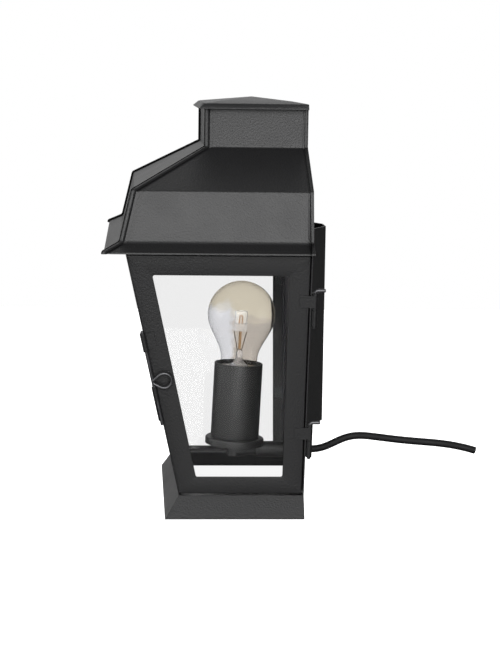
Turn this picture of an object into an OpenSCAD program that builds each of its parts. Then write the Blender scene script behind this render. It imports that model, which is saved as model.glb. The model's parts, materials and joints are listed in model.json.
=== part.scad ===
// Wall lantern of folded sheet: hipped roof with a chimney, glazed leaning sides, a hinged side
// door with a pin latch, an open flared plinth, and a screw-in bulb on a short arm.
// Everything is worked out with the rear plane at y = 0 and the foot at z = 0, front towards -y,
// then moved so that the origin is the middle of the bracket's wall face.

/* [Body] */
// Width of the glazed body at its foot
body_w = 195; // [180:1:210]
// Depth of the glazed body at its foot
body_d = 104.5; // [98:0.5:115]
// Height of the glazed body, from plinth to eave
body_h = 210; // [200:1:225]
// How far the front and the sides lean outwards over that height
body_lean = 46; // [40:1:50]
// Thickness of the folded sheet
sheet = 1.2; // [0.8:0.1:1.5]
// Thickness of the panes
pane = 3; // [2:0.5:4]
// Width of the corner posts
post_w = 12; // [10:0.5:14]
// Width of the flanges of the head ring and of the plinth
ring_w = 12; // [10:0.5:14]
// Height of the head rail above the fixed panes
head_rail = 12; // [9:0.5:15]
// Height of the sill lip in front of the fixed panes
sill_lip = 3.5; // [2.5:0.5:6]
// How far the panes tuck behind the frame
pane_tuck = 6; // [4:0.5:7]

/* [Plinth] */
// Height of the flared plinth
plinth_h = 18; // [14:1:24]
// How far the plinth flares out beyond the body
plinth_out = 11.5; // [8:0.5:16]

/* [Roof] */
// How far the eave stands out beyond the top of the body
eave_out = 16.5; // [13:0.5:20]
// Height of the upright hem along the eave
hem_h = 1.6; // [1:0.1:2.5]
// Inward run of the flare above the eave
flare_run = 13.5; // [11:0.5:14.5]
// Height of the flare, hem included
flare_h = 7; // [5.5:0.5:9]
// Inward run of the steep band
steep_run = 9.5; // [6:0.5:14]
// Height of the steep band
steep_h = 41; // [34:1:48]
// Inward run of the shallow slope
slope_run = 60.5; // [50:0.5:64]
// Height of the shallow slope
slope_h = 33; // [26:1:40]
// Visible height of the chimney
chimney_h = 31; // [24:1:40]
// Width of the seam laps along the hips
lap_w = 2.7; // [2:0.1:4]
// Width of the seam laps along the rear edges
rear_lap_w = 1.8; // [1.5:0.1:3]
// Thickness of the seam laps
lap_t = 0.8; // [0.6:0.1:1]
// How far the cap stands out beyond the chimney
cap_out = 7; // [5.5:0.5:9]
// Height of the cap's flared lip
cap_lip = 5.5; // [4:0.5:7]
// Inward run of the cap's lip
cap_lip_run = 3; // [2:0.5:3.5]
// Rise of the cap's shallow pyramid
cap_rise = 5; // [3:0.5:8]

/* [Door] */
// Width of the door's upright members
door_stile = 16.8; // [14:0.2:20]
// Height of the door's top member
door_top_rail = 17; // [14:0.5:19]
// Height of the door's bottom member
door_bottom_rail = 15.5; // [13:0.5:18]
// Depth of the door's folded rim
door_depth = 8; // [6.5:0.5:9]
// Gap between the door and the frame at the rear and at the front edge
door_gap = 0.8; // [0.6:0.1:1.2]
// Gap under the door
door_foot_gap = 1.5; // [1:0.1:2.5]
// Gap over the door
door_head_gap = 3.2; // [2.8:0.1:4]

/* [Hinges and latch] */
// Radius of the hinge knuckles
knuckle_r = 2.5; // [2.3:0.1:3]
// Radius of the hinge pins
hinge_pin_r = 1.5; // [1.2:0.1:1.6]
// Length of each knuckle
knuckle_l = 14.5; // [11:0.5:17]
// Height where the upper hinge's two knuckles meet
upper_hinge_z = 180; // [165:1:190]
// Height where the lower hinge's two knuckles meet
lower_hinge_z = 66.5; // [60:0.5:80]
// Length of the bent top of a hinge pin
pin_bend = 8.5; // [5:0.5:11]
// Thickness of hinge and latch leaves
leaf_t = 1; // [0.8:0.1:1.2]
// Width of hinge and latch leaves on the door
leaf_w = 9; // [7:0.5:11]
// Radius of the latch knuckles
guide_r = 2.3; // [2.2:0.1:2.6]
// Radius of the latch pin
latch_pin_r = 1.4; // [1.2:0.1:1.5]
// Height of the latch ring's middle
latch_ring_z = 119; // [115:1:124]
// Radius of the latch ring, to the middle of its wire
latch_ring_r = 6.3; // [5.5:0.1:7]
// Distance of the latch ring's middle behind the latch pin
latch_ring_y = 9.2; // [9:0.1:11]
// Distance of the latch ring in front of the door
latch_ring_out = 4.2; // [3.5:0.1:5]
// Travel of the latch pin along its edge
latch_travel = 23; // [20:1:23]
// Running clearance of pins in their knuckles
pin_clear = 0.06; // [0.04:0.01:0.08]

/* [Lampholder and bulb] */
// Height of the arm above the foot
arm_z = 38.2; // [36:0.2:42]
// Radius of the arm's cover tube
arm_r = 7.2; // [6.5:0.1:7.4]
// Length of the arm's cover tube
arm_l = 33.5; // [25:0.5:36]
// Distance of the lampholder's foot in front of the rear plane
holder_y = 53.2; // [50:0.2:60]
// Backward tilt of the lampholder
holder_tilt = 2.4; // [0:0.2:3]
// Radius of the threaded tubes
tube_r = 5; // [4.5:0.1:5.2]
// Radius of the cable bore in the threaded tubes
tube_bore_r = 3.6; // [3.4:0.1:3.8]
// Radius of the dish under the sleeve
dish_r = 26; // [23:0.5:28]
// Thickness of the dish
dish_t = 2.8; // [2:0.1:4]
// Depth of the rim below the dish
dish_rim = 3.4; // [2:0.1:4.4]
// Outer radius of the sleeve
sleeve_r = 21.4; // [20.8:0.1:24]
// Height of the sleeve
sleeve_h = 66.6; // [62:0.2:70]
// Wall of the sleeve
sleeve_wall = 1.4; // [1:0.1:1.8]
// Radius of the bulb
bulb_r = 30; // [27:0.5:31]
// Length of the bulb from contact to crown
bulb_l = 104.5; // [100:0.5:110]
// Radius of the bulb's neck
neck_r = 16.2; // [15:0.1:17]
// Radius of the screw cap
screw_r = 13.1; // [12.8:0.1:13.3]

/* [Bracket and cord] */
// Distance from the rear plane to the wall
bracket_d = 24; // [20:1:30]
// Height of the bracket
bracket_h = 172; // [150:1:190]
// Height of the bracket's lower end above the foot
bracket_z = 67; // [62:1:70]
// Width of the bracket's flat on the wall
bracket_flat = 26; // [20:1:32]
// Width of the bracket where it meets the back plate
bracket_w = 122; // [100:1:130]
// Width of the bracket's riveted feet
bracket_foot = 9; // [7:0.5:12]
// Distance between the two wall screws
screw_spacing = 120; // [90:1:140]
// Radius of the wall screw holes
screw_hole_r = 2.75; // [2.25:0.25:3.25]
// Radius of the holes that let a screwdriver through the back plate
access_r = 5; // [4.5:0.5:6]
// Radius of the supply cord
cord_r = 3.25; // [2.5:0.25:3.4]
// Length of the cord's tapered sleeve
gland_l = 10; // [8:0.5:10]

/* [Hidden] */
$fn = 48;

// Colours
black_paint = "#2b2b2b";
clear_glass = "#dfe8e8";
bright_brass = "#b59a5a";
porcelain = "#e8e4da";
black_rubber = "#161616";
zinc_wire = "#555555";
wire_sleeve = "#6b4a2e";

// Clearance of pieces that fit into each other, and of pieces that only pass each other
fit_clear = 0.05;
move_clear = 0.3;

// Half width, eave height and slopes of the body
half_w = body_w / 2;
eave_z = plinth_h + body_h;
lean = atan(body_lean / body_h);
face_l = body_h / cos(lean);
edge_run = body_lean / face_l;
edge = atan(edge_run);
edge_rise = cos(lean) * cos(edge);
// Reach of cutting shapes past everything, and past a face they cut through
reach = 600;
past = 1;
// Bracket centre above the foot, which is the origin's height
mount_z = bracket_z + bracket_h / 2;
// Plan offset of the 45 degree hips
hip = half_w - body_d;

// Roof profile as outward run from the body's foot, and height
eave_r = body_lean + eave_out;
flare_r = eave_r - flare_run;
kink_r = flare_r - steep_run;
chimney_r = kink_r - slope_run;
flare_z = eave_z + flare_h;
kink_z = flare_z + steep_h;
chimney_z = kink_z + slope_h;
cap_z = chimney_z + chimney_h;
chimney_top_z = cap_z + cap_lip - sheet;
roof_line = [
    [eave_r, eave_z],
    [eave_r, eave_z + hem_h],
    [flare_r, flare_z],
    [kink_r, kink_z],
    [chimney_r, chimney_z],
    [chimney_r, chimney_top_z]
];

// Door places, measured up the face
door_low = door_foot_gap;
door_high = face_l - door_head_gap;
// Distance of the door's stops and of the front frame's end behind the door's face
stop_clear = 1;
stop_in = door_depth + stop_clear;
front_end = (door_depth + stop_clear / 2) / cos(lean);
rear_post_step = 1;
rear_post_w = post_w - rear_post_step;
post_run = post_w / cos(edge);
stop_w = 10;

// Hinge axis behind the rear plane, and latch axis outside the corner
hinge_x = leaf_t - knuckle_r;
hinge_y = sheet + knuckle_r + move_clear;
knuckle_gap = 0.4;
frame_leaf_w = 13;
frame_leaf_t = 1.2;
pin_tail = 2;
leaf_inset = 2;
latch_x = guide_r;
latch_out = 0.2;
keeper_gap = 0.35;
keeper_l = 18;
keeper_leaf_w = 20;
latch_upper_l = 16;
latch_lower_l = 12;
latch_wire_r = 1.2;
latch_leg_z = 0.9;
// Heights along the latch: the loop's legs leave the pin at a slant and slide between the two guides
latch_leg_far = norm([latch_ring_y, latch_leg_z]);
leg_turn = atan2(latch_leg_z, latch_ring_y) + acos(latch_ring_r / latch_leg_far);
latch_leg_room = latch_leg_z + guide_r / tan(leg_turn) + latch_wire_r / sin(leg_turn) + move_clear;
latch_lift_clear = 1;
latch_over = 2;
latch_lower_top = -latch_leg_room;
latch_upper_foot = latch_travel + latch_leg_room;
latch_keeper_top = latch_lower_top - latch_lower_l - knuckle_gap;
latch_end = latch_keeper_top - latch_travel + latch_lift_clear;
latch_top = latch_upper_foot + latch_upper_l + latch_over;

// Pane clips
clip_w = 9;
clip_t = 0.8;
clip_foot = rear_post_w - pane_tuck - sheet - move_clear;
clip_over = 4;

// Lampholder heights above the arm's axis
stud_step = 0.5;
stud_r = tube_r - stud_step;
stud_bore_r = tube_bore_r - stud_step;
elbow_r = 6.5;
elbow_foot = 6.5;
elbow_chamfer = 1.5;
elbow_boss = 10;
dish_wall = 1.5;
dish_z = arm_r + dish_r * sin(holder_tilt) + move_clear;
sleeve_z = dish_z + dish_t;
socket_lift = 11;
socket_base = 23;
socket_drop = 4;
socket_z = sleeve_z + socket_lift;
socket_floor = socket_z + socket_base;
socket_top = sleeve_z + sleeve_h - socket_drop;
socket_r = sleeve_r - sleeve_wall - move_clear;
shell_clear = 0.8;
shell_r = screw_r + shell_clear;
shell_t = 0.6;
shell_drop = 1;
stud_foot = 2;
stud_in = 8;
stud_top = socket_z + stud_in;
contact_r = 4;
contact_h = 1;
contact_taper = 1;
insulator_step = 1.2;
bulb_z = socket_floor + contact_h + move_clear;
bulb_tip_h = 1.2;
insulator_h = 3.5;
screw_h = 22;
neck_z = bulb_z + bulb_tip_h + insulator_h + screw_h;
bulb_centre = bulb_z + bulb_l - bulb_r;
bulb_wall = 1;
neck_rise = 6;
shoulder_pull = 14;
neck_pull = 12;
stem_h = 17;
stem_foot = 2;
stem_flare = 5;
stem_waist = 9;
stem_top = neck_z + stem_h;
stem_r = 3;
lead_h = 15.6;
lead_spread = 4.8;
lead_top = stem_top + lead_h;
lead_foot = 2;
lead_r = 0.4;
lead_turn = atan((lead_spread - lead_foot) / lead_h);
rod_r = 1.2;
// Capsule inside the bulb: a flat foot under a round shell, with a hairpin filament
pinch_z = lead_top + lead_r * sin(lead_turn) + fit_clear;
pinch_h = 6.4;
pinch_w = 11.4;
pinch_t = 3.2;
capsule_z = pinch_z + pinch_h;
capsule_r = 5.7;
capsule_h = 12.2;
capsule_wall = 0.8;
filament_r = 0.45;
filament_bend = 1.6;
filament_h = 6;

// Locknut and cord sleeve behind the back plate
nut_r = 9;
nut_t = 4;
gland_y = sheet + nut_t;
gland_r = 8;
gland_flange = 3;
gland_neck = 2;
gland_lip = 0.8;
gland_round = 1;
tube_in_gland = 2;
tube_rear = gland_y + tube_in_gland;

// Route of the cord as distance behind the rear plane and rise above the arm's axis
cord_route = [
    [0, 0], [5, 0.3], [10, 1.3], [15, 3], [20, 5.3], [25, 7.7], [30, 9.8], [35, 11.3], [40, 12.1],
    [45, 12.3], [51, 12], [58, 11.2], [67, 10.1], [77, 8.9], [89, 7.7], [101, 6.7], [113, 5.7],
    [123, 4.5], [132, 3], [141, 1], [149, -1.2]
];
cord_sides = 10;

// Wires inside the arm: their radius, their distance from the middle and their bend in the elbow
inner_lead_r = 0.7;
inner_lead_x = 1.2;
inner_bend = 3.2;

// Points on the slanted faces
function up(z) = (z - plinth_h) / cos(lean);
function along(z) = (z - plinth_h) / edge_rise;
function front_y(u) = -(body_d + edge_run * u);
function side_x(u) = half_w + edge_run * u;

// A line of points moved sideways by s to its right, with mitred corners
function normal(p, q) = let (d = q - p) [d[1], -d[0]] / norm(d);
function moved(line, s) = [
    for (i = [0 : len(line) - 1])
        let (
            a = normal(line[max(i - 1, 0)], line[max(i, 1)]),
            b = normal(line[min(i, len(line) - 2)], line[min(i + 1, len(line) - 1)])
        )
        line[i] + s * (a + b) / (1 + a * b)
];
function backwards(line) = [for (i = [len(line) - 1 : -1 : 0]) line[i]];
function band(line, s, t) = concat(moved(line, t), backwards(moved(line, s)));

// Move from the working frame to the wall frame
module placed() translate([0, -bracket_d, -mount_z]) children();

// Frames of the leaning faces: x outwards, y level along the face, z up the slope
module right_face() translate([half_w, 0, plinth_h]) rotate([0, lean, 0]) children();
module left_face() mirror([1, 0, 0]) right_face() children();
module front_face() translate([0, -body_d, plinth_h]) rotate([lean, 0, 0]) rotate([0, 0, -90]) children();
// Frame of the corner edge at the door: z along the edge, y rearwards in the door's face
module latch_edge() right_face() translate([0, -body_d, 0]) rotate([edge, 0, 0]) children();
// Frame of the latch's axis, with the ring's middle at z = 0
module latch_axis() latch_edge() translate([latch_x, -latch_out, along(latch_ring_z)]) children();
// Frame of the tilted lampholder, from the arm's axis
module holder() translate([0, -holder_y, arm_z]) rotate([-holder_tilt, 0, 0]) children();

// A slab of thickness t with its inner side at x on a leaning face
module slab(points, t, x) translate([x, 0, 0]) rotate([90, 0, 90]) linear_extrude(t) polygon(points);
// Keep what lies between two heights
module between(z0, z1) {
    intersection() {
        children();
        translate([-reach, -reach, z0]) cube([2 * reach, 2 * reach, z1 - z0]);
    }
}

// Profiles run along the front and the sides, mitred at the hips
module plan(points) translate([0, 0, -reach]) linear_extrude(2 * reach) polygon(points);
module front_run() rotate([90, 0, 90]) mirror([1, 0, 0]) linear_extrude(2 * reach, center = true)
    translate([body_d, 0]) children();
module across_front() {
    intersection() {
        front_run() children();
        plan([[0, hip], [reach, hip - reach], [-reach, hip - reach]]);
    }
}
module along_right() {
    intersection() {
        translate([half_w, 0, 0]) rotate([90, 0, 0]) linear_extrude(reach) children();
        plan([[reach, reach], [-reach, hip + reach], [reach, hip - reach]]);
    }
}
module along_left() mirror([1, 0, 0]) along_right() children();
module both_sides() {
    children();
    mirror([1, 0, 0]) children();
}
// Plan strip along the right hip, from w0 to w1 to the side of it
module hip_strip(w0, w1) {
    a = w0 * sqrt(2);
    b = w1 * sqrt(2);
    plan([[0, hip + a], [reach, hip - reach + a], [reach, hip - reach + b], [0, hip + b]]);
}
// Level sheet round the front and the sides, between two runs from the body's foot
module ring_plate(inner, outer, z) translate([0, 0, z]) linear_extrude(sheet) difference() {
    ring_plan(outer, 0);
    ring_plan(inner, past);
}
module ring_plan(run, rear) polygon([
    [half_w + run, rear], [half_w + run, -body_d - run], [-half_w - run, -body_d - run], [-half_w - run, rear]
]);

// Strip up a face between two level distances that follow the corner edges
module strip(y0, y1, lean0, lean1, u0, u1, t, x) {
    slab([
        [y0 + lean0 * u0, u0], [y1 + lean1 * u0, u0],
        [y1 + lean1 * u1, u1], [y0 + lean0 * u1, u1]
    ], t, x);
}

module wall_bracket() color(black_paint) placed() {
    line = [
        [-bracket_w / 2 - bracket_foot, sheet * 2], [-bracket_w / 2, sheet * 2],
        [-bracket_flat / 2, bracket_d], [bracket_flat / 2, bracket_d],
        [bracket_w / 2, sheet * 2], [bracket_w / 2 + bracket_foot, sheet * 2]
    ];
    difference() {
        translate([0, 0, bracket_z]) linear_extrude(bracket_h) polygon(band(line, sheet, 0));
        for (s = [-1, 1]) {
            translate([0, 0, mount_z + s * screw_spacing / 2]) rotate([-90, 0, 0])
                cylinder(r = screw_hole_r, h = bracket_d + sheet);
        }
        rivet_places() translate([0, 0, -sheet]) cylinder(r = rivet_r + fit_clear, h = 4 * sheet);
    }
}

// Rivets through the bracket's feet and the back plate
rivet_r = 1.6;
rivet_head_r = 3;
rivet_head_t = 1;
rivet_inset = 16;
rivet_drop = 5;
module rivet_places() {
    // The feet lie on the back plate up to the lower of the two tops
    lap_top = min(bracket_z + bracket_h, eave_z);
    for (s = [-1, 1], z = [bracket_z + rivet_inset, lap_top - rivet_drop]) {
        translate([s * (bracket_w / 2 + bracket_foot / 2), 0, z]) rotate([-90, 0, 0]) children();
    }
}

module bracket_rivets() color(zinc_wire) placed() rivet_places() {
    cylinder(r = rivet_r, h = 2 * sheet);
    translate([0, 0, 2 * sheet]) cylinder(r = rivet_head_r, h = rivet_head_t);
    translate([0, 0, -rivet_head_t]) cylinder(r = rivet_head_r, h = rivet_head_t);
}

module back_plate() color(black_paint) placed() {
    edge_in = move_clear;
    right = [[half_w + plinth_out, 0], [half_w, plinth_h], [half_w + body_lean, eave_z]];
    outline = concat(
        [for (p = right) [p[0] - edge_in, p[1]]],
        [for (p = backwards(right)) [edge_in - p[0], p[1]]]
    );
    difference() {
        translate([0, sheet, 0]) rotate([90, 0, 0]) linear_extrude(sheet) polygon(outline);
        for (s = [-1, 1]) {
            translate([0, -sheet, mount_z + s * screw_spacing / 2]) rotate([-90, 0, 0])
                cylinder(r = access_r, h = 3 * sheet);
        }
        translate([0, -sheet, arm_z]) rotate([-90, 0, 0])
            cylinder(r = tube_r + fit_clear, h = 3 * sheet);
        rivet_places() translate([0, 0, -sheet]) cylinder(r = rivet_r + fit_clear, h = 4 * sheet);
    }
}

module rear_left_post() color(black_paint) placed() between(plinth_h, eave_z) left_face() {
    strip(-rear_post_w, 0, 0, 0, 0, face_l, sheet, -sheet);
    strip(-sheet, 0, 0, 0, 0, face_l, stop_w, -stop_w);
}

module rear_right_post() color(black_paint) placed() between(plinth_h, eave_z) right_face() {
    strip(-rear_post_w, 0, 0, 0, 0, face_l, sheet, -stop_in - sheet);
    strip(-sheet, 0, 0, 0, 0, face_l, stop_w, -stop_in - stop_w);
}

module front_left_post() color(black_paint) placed() between(plinth_h, eave_z) {
    left_face() strip(-body_d, post_run - body_d, -edge_run, -edge_run, 0, face_l, sheet, -sheet);
    front_face() strip(-half_w, post_run - half_w, -edge_run, -edge_run, 0, face_l, sheet, -sheet);
}

module front_right_post() color(black_paint) placed() between(plinth_h, eave_z) {
    right_end = half_w - front_end;
    front_face() strip(right_end - post_run, right_end, edge_run, edge_run, 0, face_l, sheet, -sheet);
    right_face() strip(sheet / 2 - body_d, stop_w - body_d, -edge_run, -edge_run, 0, face_l, sheet,
        -stop_in - sheet);
}

// A rail between the posts on the front and on the left face, between two places up the slope
module fixed_rails(u0, u1) {
    run = post_run + fit_clear;
    front_face() strip(run - half_w, half_w - front_end - run, -edge_run, edge_run, u0, u1, sheet, -sheet);
    left_face() strip(run - body_d, -rear_post_w - fit_clear, -edge_run, 0, u0, u1, sheet, -sheet);
}

module head_profile() intersection() {
    polygon(band([
        [body_lean, eave_z],
        [body_lean + flare_h * 2 * tan(lean), eave_z + flare_h * 2]
    ], -sheet, 0));
    polygon(concat(moved(roof_line, -sheet), [[-half_w, chimney_top_z], [-half_w, eave_z]]));
}

module head_frame() color(black_paint) placed() {
    across_front() head_profile();
    along_right() head_profile();
    along_left() head_profile();
    ring_plate(body_lean - ring_w, body_lean, eave_z);
    between(0, eave_z + sheet / 2) fixed_rails(up(eave_z - head_rail), up(eave_z + sheet));
}

// Level thickness of the plinth's slanted skirt
skirt_t = sheet * norm([plinth_out, plinth_h]) / plinth_h;
module plinth_profile()
    polygon([[plinth_out, 0], [0, plinth_h], [-skirt_t, plinth_h], [plinth_out - skirt_t, 0]]);

module plinth() color(black_paint) placed() {
    across_front() plinth_profile();
    along_right() plinth_profile();
    along_left() plinth_profile();
    ring_plate(-ring_w, -skirt_t / 2, plinth_h - sheet);
    between(plinth_h - sheet / 2, eave_z) fixed_rails(-sheet, sill_lip);
}

// Outline of a fixed pane, tucked behind the posts and the head rail
pane_low = 0;
pane_high = up(eave_z - head_rail + pane_tuck);
tuck_run = (post_w - pane_tuck) / cos(edge);

module front_glass() color(clear_glass, 0.4) placed() front_face() {
    strip(tuck_run - half_w, half_w - front_end - tuck_run, -edge_run, edge_run,
        pane_low, pane_high, pane, -sheet - pane);
}

module left_glass() color(clear_glass, 0.4) placed() left_face() {
    strip(tuck_run - body_d, pane_tuck - rear_post_w, -edge_run, 0,
        pane_low, pane_high, pane, -sheet - pane);
}

// A bent clip at a pane's edge: y points away from the pane
module clip(y, u, turn) translate([-sheet - pane - fit_clear, y, u]) rotate([turn, 0, 0]) {
    translate([0, fit_clear, -clip_w / 2]) cube([pane + fit_clear, clip_foot, clip_w]);
    translate([-clip_t, -clip_over, -clip_w / 2]) cube([clip_t, fit_clear + clip_foot + clip_over, clip_w]);
}

module pane_clips() color(zinc_wire) placed() {
    for (u = [face_l / 4, face_l * 3 / 4]) {
        front_face() {
            clip(half_w - front_end - tuck_run + edge_run * u, u, -edge);
            clip(tuck_run - half_w - edge_run * u, u, 180 + edge);
        }
        left_face() {
            clip(pane_tuck - rear_post_w, u, 0);
            clip(tuck_run - body_d - edge_run * u, u, 180 + edge);
        }
    }
}

rim_w = lap_w / 3;
module roof_profile() polygon(band(roof_line, -sheet, 0));
module lap_profile(depth) polygon(band(roof_line, -depth, lap_t));
// Inner layer of a lap, clear of the sheet below it, which keys the laps of two faces together at the hip
module key_profile() polygon(band(roof_line, lap_t / 4, lap_t / 2));

module roof_front_panel() color(black_paint) placed() {
    across_front() roof_profile();
    both_sides() {
        intersection() {
            along_right() lap_profile(0);
            hip_strip(0, lap_w);
        }
        intersection() {
            across_front() lap_profile(sheet / 2);
            hip_strip(-rim_w, 0);
        }
        intersection() {
            front_run() key_profile();
            hip_strip(-rim_w, lap_t / 4);
        }
    }
}

module roof_right_panel() color(black_paint) placed() along_right() roof_profile();
module roof_left_panel() color(black_paint) placed() along_left() roof_profile();

module roof_back_panel() color(black_paint) placed() {
    outer = moved(roof_line, lap_t);
    right = [for (p = outer) [half_w + p[0], p[1]]];
    left = [for (p = backwards(outer)) [-half_w - p[0], p[1]]];
    translate([0, sheet, 0]) rotate([90, 0, 0]) linear_extrude(sheet) polygon(concat(right, left));
    both_sides() {
        translate([half_w, sheet / 2, 0]) rotate([90, 0, 0]) linear_extrude(rear_lap_w + sheet / 2)
            lap_profile(0);
    }
}

// Cap: a shallow pyramid with a flared lip on three sides, its rear flush with the back panel
module cap_block(inset, top_flat) {
    x0 = half_w + chimney_r + cap_out - inset;
    x1 = x0 - cap_lip_run;
    y0 = body_d + chimney_r + cap_out - inset;
    y1 = y0 - cap_lip_run;
    apex = (body_d + chimney_r) / 2;
    rear = sheet + inset;
    lip_z = cap_z + cap_lip - inset;
    top_z = top_flat ? lip_z : lip_z + cap_rise;
    low_z = cap_z - inset;
    intersection() {
        translate([0, rear, 0]) rotate([90, 0, 0]) linear_extrude(y0 + rear)
            polygon([[-x0, low_z], [-x1, lip_z], [0, top_z], [x1, lip_z], [x0, low_z]]);
        rotate([90, 0, 90]) linear_extrude(2 * x0, center = true)
            polygon([[-y0, low_z], [-y1, lip_z], [-apex, top_z], [rear, lip_z], [rear, low_z]]);
    }
}

module chimney_cap() color(black_paint) placed() difference() {
    cap_block(0, false);
    cap_block(sheet, true);
}

// Tube along y with its front end at y0 and its rear end at y1
module level_tube(r, bore, y0, y1) translate([0, y0, arm_z]) rotate([-90, 0, 0]) difference() {
    cylinder(r = r, h = y1 - y0);
    translate([0, 0, -past]) cylinder(r = bore, h = y1 - y0 + 2 * past);
}

nipple_front = -holder_y + tube_r + move_clear;

module arm_tube() color(black_paint) placed() level_tube(arm_r, tube_r + fit_clear, -arm_l, 0);
module arm_nipple() color(bright_brass) placed() level_tube(tube_r, tube_bore_r, nipple_front, tube_rear);
module arm_locknut() color(bright_brass) placed() translate([0, sheet, arm_z]) rotate([-90, 0, 0])
    difference() {
        cylinder(r = nut_r, h = nut_t, $fn = 6);
        translate([0, 0, -past]) cylinder(r = tube_r + fit_clear, h = nut_t + 2 * past);
    }

module holder_elbow() color(black_paint) placed() difference() {
    union() {
        holder() rotate_extrude() polygon([
            [0, -elbow_foot], [elbow_r - elbow_chamfer, -elbow_foot], [elbow_r, elbow_chamfer - elbow_foot],
            [elbow_r, dish_z], [0, dish_z]
        ]);
        level_tube(elbow_r, tube_bore_r, -holder_y, elbow_boss - holder_y);
    }
    holder() translate([0, 0, stud_foot]) cylinder(r = stud_r + fit_clear, h = reach);
    holder() translate([0, 0, -tube_bore_r]) cylinder(r = tube_bore_r, h = tube_bore_r + stud_foot + past);
    translate([0, nipple_front, arm_z]) rotate([-90, 0, 0]) cylinder(r = tube_r + fit_clear, h = holder_y);
    translate([0, -holder_y, arm_z]) rotate([-90, 0, 0]) cylinder(r = tube_bore_r, h = holder_y);
}

module holder_stud() color(bright_brass) placed() holder() difference() {
    translate([0, 0, stud_foot]) cylinder(r = stud_r, h = stud_top - stud_foot);
    translate([0, 0, stud_foot - past]) cylinder(r = stud_bore_r, h = stud_top - stud_foot + 2 * past);
}

// Dish with a rim turned down, notched where the arm passes
module holder_dish() color(black_paint) placed() difference() {
    holder() rotate_extrude() {
        bore = stud_r + fit_clear;
        round = dish_t / 2;
        polygon(concat(
            [[bore, dish_z], [dish_r - dish_wall, dish_z]],
            [[dish_r - dish_wall, dish_z - dish_rim], [dish_r, dish_z - dish_rim]],
            [for (a = [0 : 15 : 90]) [dish_r - round + round * cos(a), sleeve_z - round + round * sin(a)]],
            [[bore, sleeve_z]]
        ));
    }
    translate([0, 0, arm_z]) rotate([90, 0, 0]) cylinder(r = arm_r + move_clear / 2, h = holder_y);
}

module holder_sleeve() color(black_paint) placed() holder() translate([0, 0, sleeve_z]) difference() {
    cylinder(r = sleeve_r, h = sleeve_h);
    translate([0, 0, -past]) cylinder(r = sleeve_r - sleeve_wall, h = sleeve_h + 2 * past);
}

module socket_body() color(porcelain) placed() holder() rotate_extrude() {
    stud_hole = stud_r + fit_clear;
    cup_r = shell_r + shell_t + fit_clear;
    polygon([
        [stud_hole, socket_z], [socket_r, socket_z], [socket_r, socket_top], [cup_r, socket_top],
        [cup_r, socket_floor], [stud_bore_r, socket_floor], [stud_bore_r, stud_top], [stud_hole, stud_top]
    ]);
}

module socket_shell() color(bright_brass) placed() holder() translate([0, 0, socket_floor]) difference() {
    cylinder(r = shell_r + shell_t, h = socket_top - socket_floor - shell_drop);
    translate([0, 0, -past]) cylinder(r = shell_r, h = reach);
}

module centre_contact() color(bright_brass) placed() holder()
    translate([0, 0, socket_floor]) cylinder(r = contact_r, h = contact_h);

// Two wires from the cord's gland, along the arm, round the elbow and up to the socket
module inner_leads() color(wire_sleeve) placed()
    for (s = [0, 1]) translate([(2 * s - 1) * inner_lead_x, 0, 0]) inner_lead(s * contact_h);
module inner_lead(short) {
    bend_at = inner_bend * (1 + sin(holder_tilt)) / cos(holder_tilt);
    translate([0, bend_at - holder_y, arm_z]) {
        rotate([-90, 0, 0]) cylinder(r = inner_lead_r, h = tube_rear + holder_y - bend_at);
        sphere(r = inner_lead_r + fit_clear);
        translate([0, 0, inner_bend]) rotate([90, 0, 90]) rotate([0, 0, 180 - holder_tilt])
            rotate_extrude(angle = 90 + holder_tilt) translate([inner_bend, 0]) circle(r = inner_lead_r);
    }
    holder() translate([0, 0, bend_at]) {
        cylinder(r = inner_lead_r, h = socket_floor - bend_at - short);
        sphere(r = inner_lead_r + fit_clear);
    }
}

module cable_gland() color(black_rubber) placed() translate([0, gland_y, arm_z]) rotate([-90, 0, 0])
    difference() {
        rotate_extrude() polygon([
            [0, 0], [gland_r, 0], [gland_r, gland_flange], [cord_r + gland_neck, gland_flange + gland_round],
            [cord_r + gland_lip, gland_l], [0, gland_l]
        ]);
        translate([0, 0, -past]) cylinder(r = tube_r + fit_clear, h = tube_rear - gland_y + past);
    }

// Cord swept along its route: rings square to the route, joined side by side
cord_points = [for (p = cord_route) [gland_y + gland_l + p[0], arm_z + p[1]]];
function cord_way(i) = let (
        a = cord_points[max(i - 1, 0)],
        b = cord_points[min(i + 1, len(cord_points) - 1)]
    ) (i == 0) ? [1, 0] : (b - a) / norm(b - a);
function cord_ring(i) = let (p = cord_points[i], w = cord_way(i)) [
    for (k = [0 : cord_sides - 1])
        let (a = 360 * k / cord_sides)
        [cord_r * cos(a), p[0] - w[1] * cord_r * sin(a), p[1] + w[0] * cord_r * sin(a)]
];

module supply_cord() color(black_rubber) placed() {
    n = len(cord_points);
    points = [for (i = [0 : n - 1]) each cord_ring(i)];
    walls = [
        for (i = [0 : n - 2], k = [0 : cord_sides - 1])
            let (a = i * cord_sides + k, b = i * cord_sides + (k + 1) % cord_sides)
            each [[a, b, a + cord_sides], [b, b + cord_sides, a + cord_sides]]
    ];
    first = [for (k = [cord_sides - 1 : -1 : 0]) k];
    last = [for (k = [0 : cord_sides - 1]) (n - 1) * cord_sides + k];
    polyhedron(points, concat(walls, [first, last]));
}

// Frame of the hinge axis, with the meeting place of two knuckles at z = 0
module hinge_axis(z) right_face() translate([hinge_x, hinge_y, up(z)]) children();

module frame_knuckle(z) hinge_axis(z) difference() {
    union() {
        translate([0, 0, -knuckle_l]) cylinder(r = knuckle_r, h = knuckle_l - knuckle_gap / 2);
        translate([-frame_leaf_w, sheet - hinge_y, -knuckle_l])
            cube([frame_leaf_w, frame_leaf_t, knuckle_l - knuckle_gap / 2]);
    }
    translate([0, 0, -knuckle_l - past]) cylinder(r = hinge_pin_r + pin_clear, h = knuckle_l + 2 * past);
}

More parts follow.
